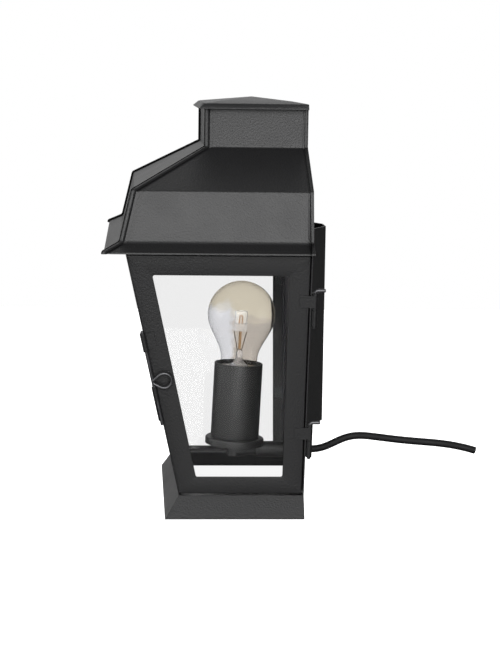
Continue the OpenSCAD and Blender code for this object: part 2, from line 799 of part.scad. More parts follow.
module door_knuckle(z) hinge_axis(z) difference() {
    union() {
        translate([0, 0, knuckle_gap / 2]) cylinder(r = knuckle_r, h = knuckle_l - knuckle_gap / 2);
        translate([-hinge_x, -hinge_y - leaf_w, knuckle_gap / 2 + leaf_inset])
            cube([leaf_t, hinge_y + leaf_w, knuckle_l - knuckle_gap / 2 - 2 * leaf_inset]);
    }
    translate([0, 0, -past]) cylinder(r = hinge_pin_r + pin_clear, h = knuckle_l + 2 * past);
}

module hinge_pin(z) hinge_axis(z) {
    top = knuckle_l + hinge_pin_r + knuckle_gap;
    foot = -knuckle_l - pin_tail;
    translate([0, 0, foot]) cylinder(r = hinge_pin_r, h = top - foot);
    translate([0, 0, top]) sphere(r = hinge_pin_r);
    translate([0, 0, top]) rotate([-90, 0, 0]) cylinder(r = hinge_pin_r, h = pin_bend);
}

module upper_frame_knuckle() color(black_paint) placed() frame_knuckle(upper_hinge_z);
module lower_frame_knuckle() color(black_paint) placed() frame_knuckle(lower_hinge_z);
module upper_hinge_pin() color(zinc_wire) placed() hinge_pin(upper_hinge_z);
module lower_hinge_pin() color(zinc_wire) placed() hinge_pin(lower_hinge_z);
module upper_door_knuckle() color(black_paint) placed() door_knuckle(upper_hinge_z);
module lower_door_knuckle() color(black_paint) placed() door_knuckle(lower_hinge_z);

// Keeper on the front frame, open towards the way the door swings
module latch_keeper() color(black_paint) placed() difference() {
    z0 = latch_keeper_top - keeper_l;
    room_r = latch_pin_r + keeper_gap;
    union() {
        latch_axis() translate([0, 0, z0]) cylinder(r = guide_r, h = keeper_l);
        front_face() strip(half_w - keeper_leaf_w, half_w + latch_x - room_r, edge_run, edge_run,
            (along(latch_ring_z) + z0) * cos(edge), (along(latch_ring_z) + z0 + keeper_l) * cos(edge),
            leaf_t, 0);
    }
    latch_axis() translate([0, 0, z0 - past]) {
        cylinder(r = room_r, h = keeper_l + 2 * past);
        translate([0, -room_r, 0]) cube([2 * guide_r, 2 * room_r, keeper_l + 2 * past]);
        translate([-2 * guide_r, latch_out + door_gap - move_clear, 0])
            cube([4 * guide_r, 2 * guide_r, keeper_l + 2 * past]);
    }
}

// Outline of the door, drawn in by a distance from its edges
function door_outline(rear, front, low, high) = [
    [-door_gap - rear, door_low + low],
    [-door_gap - rear, door_high - high],
    [front_y(door_high - high) + (door_gap + front) / cos(edge), door_high - high],
    [front_y(door_low + low) + (door_gap + front) / cos(edge), door_low + low]
];
function door_inset(d) = door_outline(d, d, d, d);
function door_window(d) = door_outline(
    door_stile - d, door_stile - d, door_bottom_rail - d, door_top_rail - d);

module door_frame() color(black_paint) placed() right_face() difference() {
    slab(door_inset(0), door_depth, -door_depth);
    slab(door_inset(sheet), door_depth, -door_depth - sheet);
    slab(door_window(0), 3 * sheet, -2 * sheet);
}

module door_glass() color(clear_glass, 0.4) placed() right_face()
    slab(door_window(pane_tuck), pane, -sheet - pane);

module door_glass_clips() color(zinc_wire) placed() right_face() {
    inset = door_stile - pane_tuck;
    for (u = [face_l / 4, face_l * 3 / 4]) {
        clip(-door_gap - inset, u, 0);
        clip(front_y(u) + (door_gap + inset) / cos(edge), u, 180 + edge);
    }
    clip(-body_d / 2, door_low + door_bottom_rail - pane_tuck, -90);
    clip(-body_d / 2, door_high - door_top_rail + pane_tuck, 90);
}

// Knuckle on the door that guides the latch pin, from z0 along its axis
module latch_guide(z0, l) latch_axis() difference() {
    union() {
        translate([0, 0, z0]) cylinder(r = guide_r, h = l);
        translate([-latch_x, 0, z0 + leaf_inset / 2]) cube([leaf_t, latch_out + leaf_w, l - leaf_inset]);
    }
    translate([0, 0, z0 - past]) cylinder(r = latch_pin_r + pin_clear, h = l + 2 * past);
}

module latch_upper_guide() color(black_paint) placed() latch_guide(latch_upper_foot, latch_upper_l);
module latch_lower_guide() color(black_paint) placed()
    latch_guide(latch_lower_top - latch_lower_l, latch_lower_l);

// A straight round wire between two points
module rod(p, q, r) {
    d = q - p;
    translate(p) rotate([0, acos(d[2] / norm(d)), atan2(d[1], d[0])]) cylinder(r = r, h = norm(d));
}

// Latch pin and its finger loop, one bent wire: two legs run from the pin to touch an open ring
module latch_pin() color(zinc_wire) placed() latch_axis() {
    ring_x = latch_ring_out - latch_x;
    leg_y = latch_ring_y - latch_ring_r * cos(leg_turn);
    leg_z = latch_ring_r * sin(leg_turn);
    translate([0, 0, latch_end]) cylinder(r = latch_pin_r, h = latch_top - latch_end);
    for (s = [-1, 1]) {
        rod([ring_x, 0, s * latch_leg_z], [ring_x, leg_y, s * leg_z], latch_wire_r);
        translate([ring_x, 0, s * latch_leg_z]) sphere(r = latch_wire_r);
        translate([ring_x, leg_y, s * leg_z]) sphere(r = latch_wire_r + fit_clear);
    }
    translate([ring_x, latch_ring_y, 0]) rotate([0, 90, 0]) rotate([0, 0, leg_turn - 90])
        rotate_extrude(angle = 360 - 2 * leg_turn) translate([latch_ring_r, 0]) circle(r = latch_wire_r);
}

// Bulb envelope: a round crown, then an even curve down to the neck
crown_end = -25;
function curve(a, b, c, d, t) =
    a * pow(1 - t, 3) + 3 * b * t * pow(1 - t, 2) + 3 * c * t * t * (1 - t) + d * pow(t, 3);
function bulb_line(inset) = let (
        r = bulb_r - inset,
        start = [r * cos(crown_end), bulb_centre + r * sin(crown_end)],
        way = [sin(crown_end), -cos(crown_end)],
        foot = [neck_r - inset, neck_z + neck_rise]
    ) concat(
        [for (a = [90 : -5 : crown_end + 5]) [r * cos(a), bulb_centre + r * sin(a)]],
        [for (k = [0 : 10]) curve(start, start + shoulder_pull * way, foot + [0, neck_pull], foot, k / 10)],
        [[screw_r - inset, neck_z]]
    );

module bulb_glass() color(clear_glass, 0.4) placed() holder()
    rotate_extrude() polygon(concat(bulb_line(0), backwards(bulb_line(bulb_wall))));

// Screw cap with rolled thread ridges
thread_pitch = 3.6;
thread_depth = 1;
thread_free = 2;
bulb_cap_t = 1.6;
module bulb_cap() color(bright_brass) placed() holder() {
    z0 = bulb_z + bulb_tip_h + insulator_h;
    steps = 8;
    turns = floor((screw_h - thread_free) / thread_pitch);
    ridge = [
        for (k = [0 : turns * steps])
            [screw_r - thread_depth * (1 + cos(360 * k / steps)) / 2, z0 + k * thread_pitch / steps]
    ];
    inner = screw_r - bulb_cap_t;
    rotate_extrude() polygon(concat(
        [[inner, z0]], ridge, [[screw_r, neck_z], [inner, neck_z]]
    ));
}

module bulb_insulator() color(black_rubber) placed() holder() rotate_extrude() polygon([
    [0, bulb_z + bulb_tip_h + fit_clear], [contact_r + contact_taper, bulb_z + bulb_tip_h + fit_clear],
    [screw_r - insulator_step, bulb_z + bulb_tip_h + insulator_h], [0, bulb_z + bulb_tip_h + insulator_h]
]);

module bulb_contact() color(zinc_wire) placed() holder()
    translate([0, 0, bulb_z]) cylinder(r1 = contact_r - contact_taper, r2 = contact_r, h = bulb_tip_h);

// Glass stem that closes the neck, with its middle rod up to the capsule
module bulb_stem() color(clear_glass, 0.5) placed() holder() difference() {
    flange_r = screw_r - bulb_cap_t - fit_clear;
    rotate_extrude() polygon([
        [0, neck_z - stem_foot], [flange_r, neck_z - stem_foot], [flange_r, neck_z],
        [stem_r + stem_foot, neck_z + stem_flare], [stem_r, neck_z + stem_waist],
        [stem_r, stem_top - stem_foot], [rod_r, stem_top], [rod_r, pinch_z], [0, pinch_z]
    ]);
    lead_wires(lead_r + fit_clear);
}

// Two lead wires that spread from the stem to the capsule's foot
module lead_wires(r) {
    for (s = [-1, 1]) {
        translate([0, s * lead_foot, stem_top]) rotate([-s * lead_turn, 0, 0])
            translate([0, 0, -lead_foot]) cylinder(r = r, h = lead_foot + lead_h / cos(lead_turn));
    }
}

module bulb_leads() color(zinc_wire) placed() holder() lead_wires(lead_r);

module capsule_shell(r, h) {
    cylinder(r = r, h = h - r);
    translate([0, 0, h - r]) sphere(r = r);
}

module bulb_capsule() color(clear_glass, 0.5) placed() holder() {
    translate([-pinch_t / 2, -pinch_w / 2, pinch_z]) cube([pinch_t, pinch_w, pinch_h + capsule_wall / 2]);
    translate([0, 0, capsule_z]) difference() {
        capsule_shell(capsule_r, capsule_h);
        translate([0, 0, capsule_wall]) capsule_shell(capsule_r - capsule_wall, capsule_h - 2 * capsule_wall);
    }
}

// Hairpin filament that stands on the capsule's floor
module bulb_filament() color(zinc_wire) placed() holder() translate([0, 0, capsule_z + capsule_wall]) {
    for (s = [-1, 1]) translate([0, s * filament_bend, 0]) cylinder(r = filament_r, h = filament_h);
    translate([0, 0, filament_h]) rotate([90, 0, 90]) rotate_extrude(angle = 180)
        translate([filament_bend, 0]) circle(r = filament_r);
}

wall_bracket();
bracket_rivets();
back_plate();
rear_left_post();
rear_right_post();
front_left_post();
front_right_post();
head_frame();
plinth();
front_glass();
left_glass();
pane_clips();
roof_front_panel();
roof_left_panel();
roof_right_panel();
roof_back_panel();
chimney_cap();
arm_tube();
arm_nipple();
arm_locknut();
holder_elbow();
holder_stud();
holder_dish();
holder_sleeve();
socket_body();
socket_shell();
centre_contact();
inner_leads();
cable_gland();
supply_cord();
upper_frame_knuckle();
lower_frame_knuckle();
upper_hinge_pin();
lower_hinge_pin();
latch_keeper();
door_frame();
door_glass();
door_glass_clips();
upper_door_knuckle();
lower_door_knuckle();
latch_upper_guide();
latch_lower_guide();
latch_pin();
bulb_glass();
bulb_cap();
bulb_insulator();
bulb_contact();
bulb_stem();
bulb_leads();
bulb_capsule();
bulb_filament();
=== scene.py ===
"""Looks of a wall lantern of folded black sheet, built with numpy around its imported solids.

Every point is worked out in metres from the lantern's rear plane (y = 0) and foot (z = 0), front towards -y,
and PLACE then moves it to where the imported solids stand.
"""
import json
import math

import bmesh
import bpy
import numpy as np
from bpy.props import FloatProperty, FloatVectorProperty, PointerProperty
from mathutils import Matrix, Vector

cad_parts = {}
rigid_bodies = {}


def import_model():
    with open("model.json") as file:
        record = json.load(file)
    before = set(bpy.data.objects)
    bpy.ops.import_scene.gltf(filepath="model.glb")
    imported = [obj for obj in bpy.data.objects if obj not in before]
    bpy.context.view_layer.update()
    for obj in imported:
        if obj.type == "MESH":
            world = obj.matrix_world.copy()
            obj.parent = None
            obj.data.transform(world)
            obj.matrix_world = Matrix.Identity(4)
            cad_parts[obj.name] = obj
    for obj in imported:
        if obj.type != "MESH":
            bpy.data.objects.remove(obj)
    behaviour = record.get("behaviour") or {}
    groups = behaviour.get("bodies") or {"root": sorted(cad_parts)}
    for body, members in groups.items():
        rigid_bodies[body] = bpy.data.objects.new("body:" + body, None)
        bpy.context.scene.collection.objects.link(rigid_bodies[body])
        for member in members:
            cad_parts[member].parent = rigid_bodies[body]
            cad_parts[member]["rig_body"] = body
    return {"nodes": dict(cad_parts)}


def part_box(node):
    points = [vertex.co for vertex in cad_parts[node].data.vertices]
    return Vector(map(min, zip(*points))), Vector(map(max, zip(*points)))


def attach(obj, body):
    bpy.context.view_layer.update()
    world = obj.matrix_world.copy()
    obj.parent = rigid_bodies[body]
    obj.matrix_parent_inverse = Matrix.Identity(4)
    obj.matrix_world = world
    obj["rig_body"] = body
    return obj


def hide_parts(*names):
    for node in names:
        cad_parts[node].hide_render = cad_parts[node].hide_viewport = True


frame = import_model()

bl_info = {
    "name": "Wall Lantern",
    "version": (1, 0, 0),
    "blender": (4, 5, 0),
    "location": "View3D > Sidebar > Lantern",
    "description": "Builds the visible pieces of a wall lantern around its solids",
    "category": "Object",
}

MM = 0.001
SQUARE = math.sqrt(2)
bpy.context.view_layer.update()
PLACE = np.array([0.0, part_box("back_plate")[0][1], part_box("plinth")[0][2]])
# Camera: long side of the picture and focal length in pixels, yaw, pitch and roll in degrees, place in metres
PHOTO_LONG_SIDE = 650
FOCAL_LENGTH = 1851.171
CAMERA_TURN = (-3.56, 7.697, 0.825)
CAMERA_PLACE = (1.62007, -0.16511, 0.21604)
SENSOR_WIDTH = 36.0
# Floor: half its width, and its depth below the lantern's wall mount, in metres
FLOOR_HALF = 6.0
FLOOR_DEPTH = 0.75
# Studio light: the middle, narrowness and strength of each glow, and the light from everywhere
GLOWS = (
    ((0.88, 0.22, 0.42), 20.0, 5.8),
    ((0.94, -0.17, 0.31), 20.0, 6.4),
    ((0.92, -0.37, 0.1), 20.0, 1.2),
    ((0.96, 0.1, -0.24), 20.0, 1.5),
    ((0.81, 0.09, -0.57), 20.0, 0.55),
    ((0.14, -0.98, 0.14), 20.0, 4.2),
    ((0.0, -0.64, 0.77), 20.0, 1.2),
    ((0.17, 0.0, 0.98), 20.0, 0.35),
    ((0.0, 0.98, 0.17), 20.0, 0.4),
    ((-0.5, 0.0, 0.87), 20.0, 0.25),
    ((-0.79, 0.0, 0.62), 20.0, 1.35),
    ((-0.98, 0.0, 0.21), 20.0, 0.65),
    ((-0.97, 0.0, -0.26), 20.0, 1.6),
)
EVEN_LIGHT = 0.03
# Bend radii of the roof sheet in millimetres: hem, flare, kink, chimney foot
ROOF_BENDS = (0.8, 5.0, 2.0, 2.4)
# Rear end of the cord's gland, a clearance, and the lengths of the pieces inside the lampholder and the bulb
GLAND_END = 15.2 * MM
MOVE_CLEAR = 0.3 * MM
SOCKET_FLOOR = 34 * MM
CONTACT_T = 1 * MM
SCREW_CAP_H = 26.7 * MM
STEM_H = 17 * MM
LEAD_H = 15.6 * MM
LEAD_SPREAD = 5.7 * MM
LEAD_FOOT = 1.6 * MM
LEAD_R = 0.4 * MM
ROD_R = 1.2 * MM
PINCH_GAP = 0.12 * MM
PINCH_H = 6.4 * MM
PINCH_W = 11.4 * MM
PINCH_T = 3.2 * MM
CAPSULE_R = 5.7 * MM
CAPSULE_H = 12.2 * MM
CAPSULE_WALL = 0.5 * MM
GLASS_WALL = 0.15 * MM
# Bloom on the bulb, each from where it starts to where it is full: towards the rear, over the crown, and from
# warm to a greyer painted shade below them; and where the stem's clear foot turns into its amber rod
BLOOM_REAR = (-77 * MM, -71 * MM)
BLOOM_CROWN = (15 * MM, 22 * MM)
SHADE_BELOW = (9 * MM, 4 * MM)
AMBER_FROM = (-26 * MM, -24 * MM)
# Gap between a seam and the sheet under it, gap between door and front pieces, and set-back of the rear posts
SEAM_GAP = 0.02 * MM
DOOR_ROOM = 0.5 * MM
REAR_SET_BACK = 1 * MM


def linear(code):
    """Linear red, green and blue of an sRGB hex code, by the two-part sRGB curve."""
    part = np.array([int(code[i:i + 2], 16) for i in (1, 3, 5)]) / 255
    return tuple(np.where(part <= 0.04045, part / 12.92, ((part + 0.055) / 1.055) ** 2.4).tolist())


def size(name, millimetres, description):
    """A length to set, given in millimetres and kept in metres."""
    return FloatProperty(name=name, description=description, default=millimetres * MM, min=0, unit="LENGTH")


def angle(name, degrees, description):
    """An angle to set, given in degrees and kept in radians."""
    return FloatProperty(name=name, description=description, default=math.radians(degrees), subtype="ANGLE")


def colour(name, code, description):
    """A colour to set, given as an sRGB hex code and kept linear."""
    return FloatVectorProperty(name=name, description=description, default=linear(code), subtype="COLOR",
                               size=3, min=0, max=1)


class LanternSizes(bpy.types.PropertyGroup):
    """Sizes of the visible pieces, the same as in the solids."""
    body_w: size("Body width", 195, "Width of the glazed body at its foot")
    body_d: size("Body depth", 104.5, "Depth of the glazed body at its foot")
    body_h: size("Body height", 210, "Height of the glazed body, from plinth to eave")
    body_lean: size("Body lean", 46, "How far the front and the sides lean out over that height")
    plinth_h: size("Plinth height", 18, "Height of the flared plinth")
    sheet: size("Sheet", 1.2, "Thickness of the folded sheet")
    pane: size("Pane", 3, "Thickness of the panes")
    pane_tuck: size("Pane tuck", 6, "How far the panes reach behind the frame")
    post_w: size("Post width", 12, "Width of the corner posts")
    head_rail: size("Head rail", 12, "Height of the rail above the fixed panes")
    ring_w: size("Ring width", 12, "Width of the head ring's flange")
    eave_out: size("Eave overhang", 16.5, "How far the eave stands out beyond the body")
    hem_h: size("Hem", 1.3, "Height of the upright hem along the eave")
    hem_drop: size("Hem drop", 1.0, "How far the hem hangs below the top of the body")
    flare_run: size("Flare run", 13.5, "Inward run of the flare above the eave")
    flare_h: size("Flare height", 7, "Height of the flare, hem included")
    steep_run: size("Band run", 9.5, "Inward run of the steep band")
    steep_h: size("Band height", 41, "Height of the steep band")
    slope_run: size("Slope run", 60.5, "Inward run of the shallow slope")
    slope_h: size("Slope height", 33, "Height of the shallow slope")
    chimney_h: size("Chimney height", 31, "Visible height of the chimney")
    lap_w: size("Hip lap", 1.9, "Width of the seam laps along the hips")
    rear_lap_w: size("Rear lap", 1.8, "Width of the seam laps along the rear edges")
    lap_t: size("Lap thickness", 0.8, "Thickness of the seam laps")
    bead_t: size("Hip bead", 1.3, "Height of the bead along the hips")
    groove_w: size("Groove width", 1.3, "Width of the groove beside a lap")
    groove_t: size("Groove depth", 0.8, "Depth of the groove beside a lap")
    cap_out: size("Cap overhang", 7, "How far the cap stands out beyond the chimney")
    cap_lip: size("Cap lip", 5.5, "Height of the cap's flared lip")
    cap_lip_run: size("Cap lip run", 3, "Inward run of the cap's lip")
    cap_front_run: size("Cap front run", 6, "Inward run of the lip on the cap's front")
    cap_rise: size("Cap rise", 5, "Rise of the cap's shallow pyramid")
    door_stile: size("Door stile", 16.8, "Width of the door's upright members")
    door_top_rail: size("Door top rail", 17, "Height of the door's top member")
    door_bottom_rail: size("Door bottom rail", 15.5, "Height of the door's bottom member")
    door_depth: size("Door depth", 8, "Depth of the door's folded rim")
    door_gap: size("Door gap", 0.8, "Gap at the door's rear and front edge")
    door_foot_gap: size("Door foot gap", 1.5, "Gap under the door")
    door_head_gap: size("Door head gap", 3.2, "Gap over the door")
    window_round: size("Window rounding", 1.6, "Radius of the corners of the door's window")
    hinge_pin_r: size("Hinge pin", 1.5, "Radius of the hinge pins")
    knuckle_l: size("Knuckle length", 14.5, "Length of each hinge knuckle")
    upper_hinge_z: size("Upper hinge", 180, "Height where the upper hinge's knuckles meet")
    lower_hinge_z: size("Lower hinge", 66.5, "Height where the lower hinge's knuckles meet")
    pin_bend: size("Pin bend", 8.5, "Length of the bent top of a hinge pin")
    guide_r: size("Latch guide", 2.3, "Radius of the latch's guides")
    latch_pin_r: size("Latch pin", 1.4, "Radius of the latch pin")
    latch_ring_z: size("Latch height", 119, "Height of the latch ring's middle")
    latch_ring_r: size("Latch ring", 6.3, "Radius of the latch ring")
    latch_ring_y: size("Latch ring reach", 9.2, "Distance of the latch ring's middle behind the pin")
    latch_ring_out: size("Latch ring lift", 4.2, "Distance of the latch ring in front of the door")
    latch_travel: size("Latch travel", 23, "Travel of the latch pin")
    arm_z: size("Arm height", 38.2, "Height of the arm above the foot")
    arm_r: size("Arm radius", 7.2, "Radius of the arm's cover tube")
    arm_l: size("Arm length", 33.5, "Length of the arm's cover tube")
    holder_y: size("Holder place", 53.2, "Distance of the lampholder in front of the rear plane")
    holder_tilt: angle("Holder tilt", 2.4, "Backward tilt of the lampholder")
    dish_r: size("Dish radius", 26, "Radius of the dish under the sleeve")
    dish_t: size("Dish thickness", 2.8, "Thickness of the dish")
    sleeve_r: size("Sleeve radius", 21.4, "Outer radius of the sleeve")
    sleeve_h: size("Sleeve height", 66.6, "Height of the sleeve")
    sleeve_wall: size("Sleeve wall", 1.4, "Wall of the sleeve")
    bulb_r: size("Bulb radius", 30, "Radius of the bulb")
    bulb_l: size("Bulb length", 104.5, "Length of the bulb from contact to crown")
    neck_r: size("Neck radius", 16.2, "Radius of the bulb's neck")
    screw_r: size("Screw radius", 13.1, "Radius of the bulb's screw cap")
    cord_r: size("Cord radius", 3.25, "Radius of the supply cord")


class LanternColours(bpy.types.PropertyGroup):
    """Base colours of the finishes."""
    paint: colour("Paint", "#131314", "Black powder coat of the folded sheet")
    holder: colour("Holder paint", "#181818", "Heat-proof paint of the lampholder")
    wire: colour("Wire", "#545456", "Blackened wire of pins and latch")
    pane: colour("Pane", "#f6f6f6", "Body colour of the float glass")
    bulb: colour("Bulb", "#f5f5f7", "Body colour of the blown glass")
    crown: colour("Bulb crown", "#eee9de", "Warm bloom on the bulb's crown and rear side")
    low_shade: colour("Bulb haze", "#e0dbd5", "Greyer bloom low on the bulb's rear side")
    quartz: colour("Capsule", "#f4f5f7", "Frosted quartz of the capsule")
    # Low shade: a painted shade that greys the bloom low on the bulb's rear side
    amber: colour("Stem rod", "#d6b488", "Amber glass of the rod above the stem")
    spring: colour("Spring steel", "#3a3b3d", "Phosphated steel of the pane clips")
    brass: colour("Brass", "#b8994e", "Turned brass inside the lampholder")
    nickel: colour("Nickel", "#b9b4aa", "Plated screw cap of the bulb")
    # Filament: orange painted reflection on the wire; filament glow: a faint painted glow of the unlit
    # filament
    filament: colour("Filament", "#6e3a04", "Hot-drawn filament wire")
    painted_glow: colour("Filament glow", "#ffb42e", "Faint light of the filament")
    lead: colour("Lead wire", "#8f8271", "Lead wires inside the bulb")
    porcelain: colour("Porcelain", "#e9e4d8", "Glazed socket body")
    vitrite: colour("Insulator", "#141416", "Black glass of the bulb's insulator")
    rubber: colour("Rubber", "#0c0c0d", "Rubber of cord and gland")
    # Hip shade: dead black along the hips, a painted shade for the shadowed gaps beside the beads
    hip_shade: colour("Sealant", "#070707", "Sealing compound along the hips")
    sleeving: colour("Wire sleeve", "#7a4a26", "Sleeve of the wires inside the arm")
    floor: colour("Floor", "#fbfbfb", "Pale studio floor")


class Form:
    """Places that follow from the sizes."""

    def __init__(self, s):
        self.half_w = s.body_w / 2
        self.eave_z = s.plinth_h + s.body_h
        self.lean = math.atan(s.body_lean / s.body_h)
        self.face_l = s.body_h / math.cos(self.lean)
        self.edge_run = s.body_lean / self.face_l
        self.edge = math.atan(self.edge_run)
        eave_r = s.body_lean + s.eave_out
        flare_r = eave_r - s.flare_run
        kink_r = flare_r - s.steep_run
        self.chimney_r = kink_r - s.slope_run
        flare_z = self.eave_z + s.flare_h
        kink_z = flare_z + s.steep_h
        chimney_z = kink_z + s.slope_h
        self.cap_z = chimney_z + s.chimney_h
        self.roof_top = self.cap_z + s.cap_lip - s.sheet
        self.roof_line = rounded(np.array([
            [eave_r, self.eave_z - s.hem_drop], [eave_r, self.eave_z - s.hem_drop + s.hem_h],
            [flare_r, flare_z], [kink_r, kink_z],
            [self.chimney_r, chimney_z], [self.chimney_r, self.roof_top],
        ]), np.array(ROOF_BENDS) * MM)
        slant, rise = math.sin(self.lean), math.cos(self.lean)
        foot = s.plinth_h
        self.right_face = (np.array([self.half_w, 0, foot]),
                           np.array([[rise, 0, -slant], [0, 1, 0], [slant, 0, rise]]))
        self.left_face = (np.array([-self.half_w, 0, foot]),
                          np.array([[-rise, 0, -slant], [0, 1, 0], [-slant, 0, rise]]))
        self.front_face = (np.array([0, -s.body_d, foot]),
                           np.array([[0, -rise, -slant], [1, 0, 0], [0, -slant, rise]]))
        self.door_low = s.door_foot_gap
        self.door_high = self.face_l - s.door_head_gap
        tilt = s.holder_tilt
        self.holder = (np.array([0, -s.holder_y, s.arm_z]),
                       np.array([[1, 0, 0], [0, math.cos(tilt), -math.sin(tilt)],
                                 [0, math.sin(tilt), math.cos(tilt)]]))
        self.arm = (np.array([0, 0, s.arm_z]), np.array([[1, 0, 0], [0, 0, -1], [0, 1, 0]]))
        self.dish_z = s.arm_r + s.dish_r * math.sin(tilt) + MOVE_CLEAR
        self.sleeve_z = self.dish_z + s.dish_t
        self.bulb_z = self.sleeve_z + SOCKET_FLOOR + CONTACT_T + MOVE_CLEAR
        self.neck_z = self.bulb_z + SCREW_CAP_H
        self.bulb_centre = self.bulb_z + s.bulb_l - s.bulb_r
        self.stem_top = self.neck_z + STEM_H
        self.pinch_z = self.stem_top + LEAD_H + PINCH_GAP
        self.capsule_z = self.pinch_z + PINCH_H


def unit(v):
    """Vectors divided by their lengths."""
    return v / np.linalg.norm(v, axis=-1, keepdims=True)


def rounded(corners, radii, closed=False, steps=6):
    """Line through the corners with each corner turned into an arc: the arc leaves and meets its two legs at
    radius * tan(turn / 2) from the corner, and its points turn evenly about the centre of that circle."""
    if closed:
        before, after = np.roll(corners, 1, 0), np.roll(corners, -1, 0)
        middle = corners
    else:
        before, middle, after = corners[:-2], corners[1:-1], corners[2:]
    radii = np.broadcast_to(radii, len(middle))[:, None]
    way_in, way_out = unit(middle - before), unit(after - middle)
    turn = np.arctan2(way_in[:, 0] * way_out[:, 1] - way_in[:, 1] * way_out[:, 0], (way_in * way_out).sum(1))
    side = np.sign(turn)[:, None] * np.stack([-way_in[:, 1], way_in[:, 0]], 1)
    centre = middle - way_in * radii * np.tan(np.abs(turn) / 2)[:, None] + side * radii
    swing = np.linspace(0, 1, steps + 1)[None] * turn[:, None]
    arm = (-side * radii)[:, None, :]
    c, d = np.cos(swing)[..., None], np.sin(swing)[..., None]
    across = np.stack([-arm[..., 1], arm[..., 0]], -1)
    arcs = (centre[:, None, :] + c * arm + d * across).reshape(-1, 2)
    return arcs if closed else np.vstack([corners[:1], arcs, corners[-1:]])


def shifted(line, distance):
    """The line moved to its right: each point goes along the mitre of its two legs."""
    legs = np.diff(line, axis=0)
    right = unit(np.stack([legs[:, 1], -legs[:, 0]], 1))
    a, b = np.vstack([right[:1], right]), np.vstack([right, right[-1:]])
    return line + distance * (a + b) / (1 + (a * b).sum(1, keepdims=True))


def set_in(points, place):
    """Points of a face or a holder, taken along that place's three axes from its origin."""
    origin, axes = place
    return origin + points @ axes


def skin(grid, round_rows=False, round_columns=True):
    """Faces over a grid of points: each quad joins two neighbours of one row to the same two of the next row.
    A direction that goes round joins its last line to its first, and rows that end get a face at each end."""
    rows, columns = grid.shape[:2]
    index = np.arange(rows * columns).reshape(rows, columns)
    ends = [index[0][::-1].tolist(), index[-1].tolist()] if round_columns and not round_rows else []
    if round_rows:
        index = np.vstack([index, index[:1]])
    if round_columns:
        index = np.hstack([index, index[:, :1]])
    quads = np.stack([index[:-1, :-1], index[:-1, 1:], index[1:, 1:], index[1:, :-1]], -1)
    return grid.reshape(-1, 3), quads.reshape(-1, 4).tolist() + ends


def joined(*solids):
    """Several closed skins as one, with the numbers of each one's points moved past those before it."""
    starts = np.cumsum([0] + [len(points) for points, _ in solids[:-1]])
    faces = [[k + start for k in face]
             for (_, group), start in zip(solids, starts.tolist()) for face in group]
    return np.vstack([points for points, _ in solids]), faces


def turned(profile, place, sides=64, ring=False):
    """Profile of radius and height turned about a place's third axis, as (r cos a, r sin a, h). A ring's
    profile is a closed section; any other one starts and ends on the axis."""
    a = np.linspace(0, 2 * math.pi, sides, endpoint=False)[:, None]
    r, h = profile[:, 0][None], profile[:, 1][None]
    grid = np.stack([r * np.cos(a), r * np.sin(a), np.broadcast_to(h, (sides, len(profile)))], -1)
    return skin(set_in(grid, place), round_rows=True, round_columns=ring)


def smooth_path(points, steps):
    """Path through the points on a curve whose slope at each point is that of its two neighbours' chord."""
    slope = np.gradient(points, axis=0)
    t = np.linspace(0, 1, steps, endpoint=False)[None, :, None]
    p, q, u, v = (x[:, None, :] for x in (points[:-1], points[1:], slope[:-1], slope[1:]))
    curve = ((2 * t**3 - 3 * t**2 + 1) * p + (t**3 - 2 * t**2 + t) * u
             + (3 * t**2 - 2 * t**3) * q + (t**3 - t**2) * v)
    return np.vstack([curve.reshape(-1, points.shape[1]), points[-1:]])


def wire(path, radius, sides=20, end_round=0.5):
    """Round wire along a path: a circle square to the path at each point, carried along without twist, with
    rows of less radius that round off its two ends."""
    way = unit(np.gradient(path, axis=0))
    first = np.cross(way[0], np.eye(3)[np.argmin(np.abs(way[0]))])
    across = [unit(first)]
    for w in way[1:]:
        across.append(unit(across[-1] - w * (across[-1] @ w)))
    across = np.array(across)
    up = np.cross(way, across)
    cap = np.linspace(0, math.pi / 2, 5)[:-1]
    lift = radius * end_round
    inner = radius * (1 - end_round)
    ends = inner + lift * np.sin(cap)
    rows = np.concatenate([np.zeros(4, int), np.arange(len(path)), np.full(4, len(path) - 1)])
    radii = np.concatenate([ends, np.full(len(path), radius), ends[::-1]])
    along = np.zeros(len(rows))
    along[:4] = lift * (1 - np.cos(cap))
    along[-4:] = -along[:4][::-1]
    along[4], along[-5] = lift, -lift
    a = np.linspace(0, 2 * math.pi, sides, endpoint=False)
    circle = np.cos(a)[None, :, None] * across[rows][:, None] + np.sin(a)[None, :, None] * up[rows][:, None]
    middle = path[rows] + along[:, None] * way[rows]
    return skin(middle[:, None] + radii[:, None, None] * circle)


def bent(corners, radius, steps=8):
    """Path through corners in space with arcs of one radius at the bends, each worked out in the plane of its
    two legs."""
    parts = [corners[:1]]
    for a, b, c in zip(corners[:-2], corners[1:-1], corners[2:]):
        u, v = unit(b - a), unit(c - b)
        turn = math.acos(float(np.clip(u @ v, -1, 1)))
        side = unit(v - u * (u @ v))
        t = np.linspace(0, turn, steps)[:, None]
        start = b - u * radius * math.tan(turn / 2)
        parts.append(start + radius * (np.sin(t) * u + (1 - np.cos(t)) * side))
    return np.vstack(parts + [corners[-1:]])


def plate(outline, low, high, arris, place, corner):
    """Flat plate on a face: the outline, drawn in by a distance, at the plate's two sides and two arrises."""
    rows = [(arris, low), (0, low + arris), (0, high - arris), (arris, high)]
    grid = []
    for inset, x in rows:
        loop = rounded(outline(inset), corner, closed=True, steps=4)
        grid.append(np.column_stack([np.full(len(loop), x), loop]))
    return skin(set_in(np.array(grid), place))


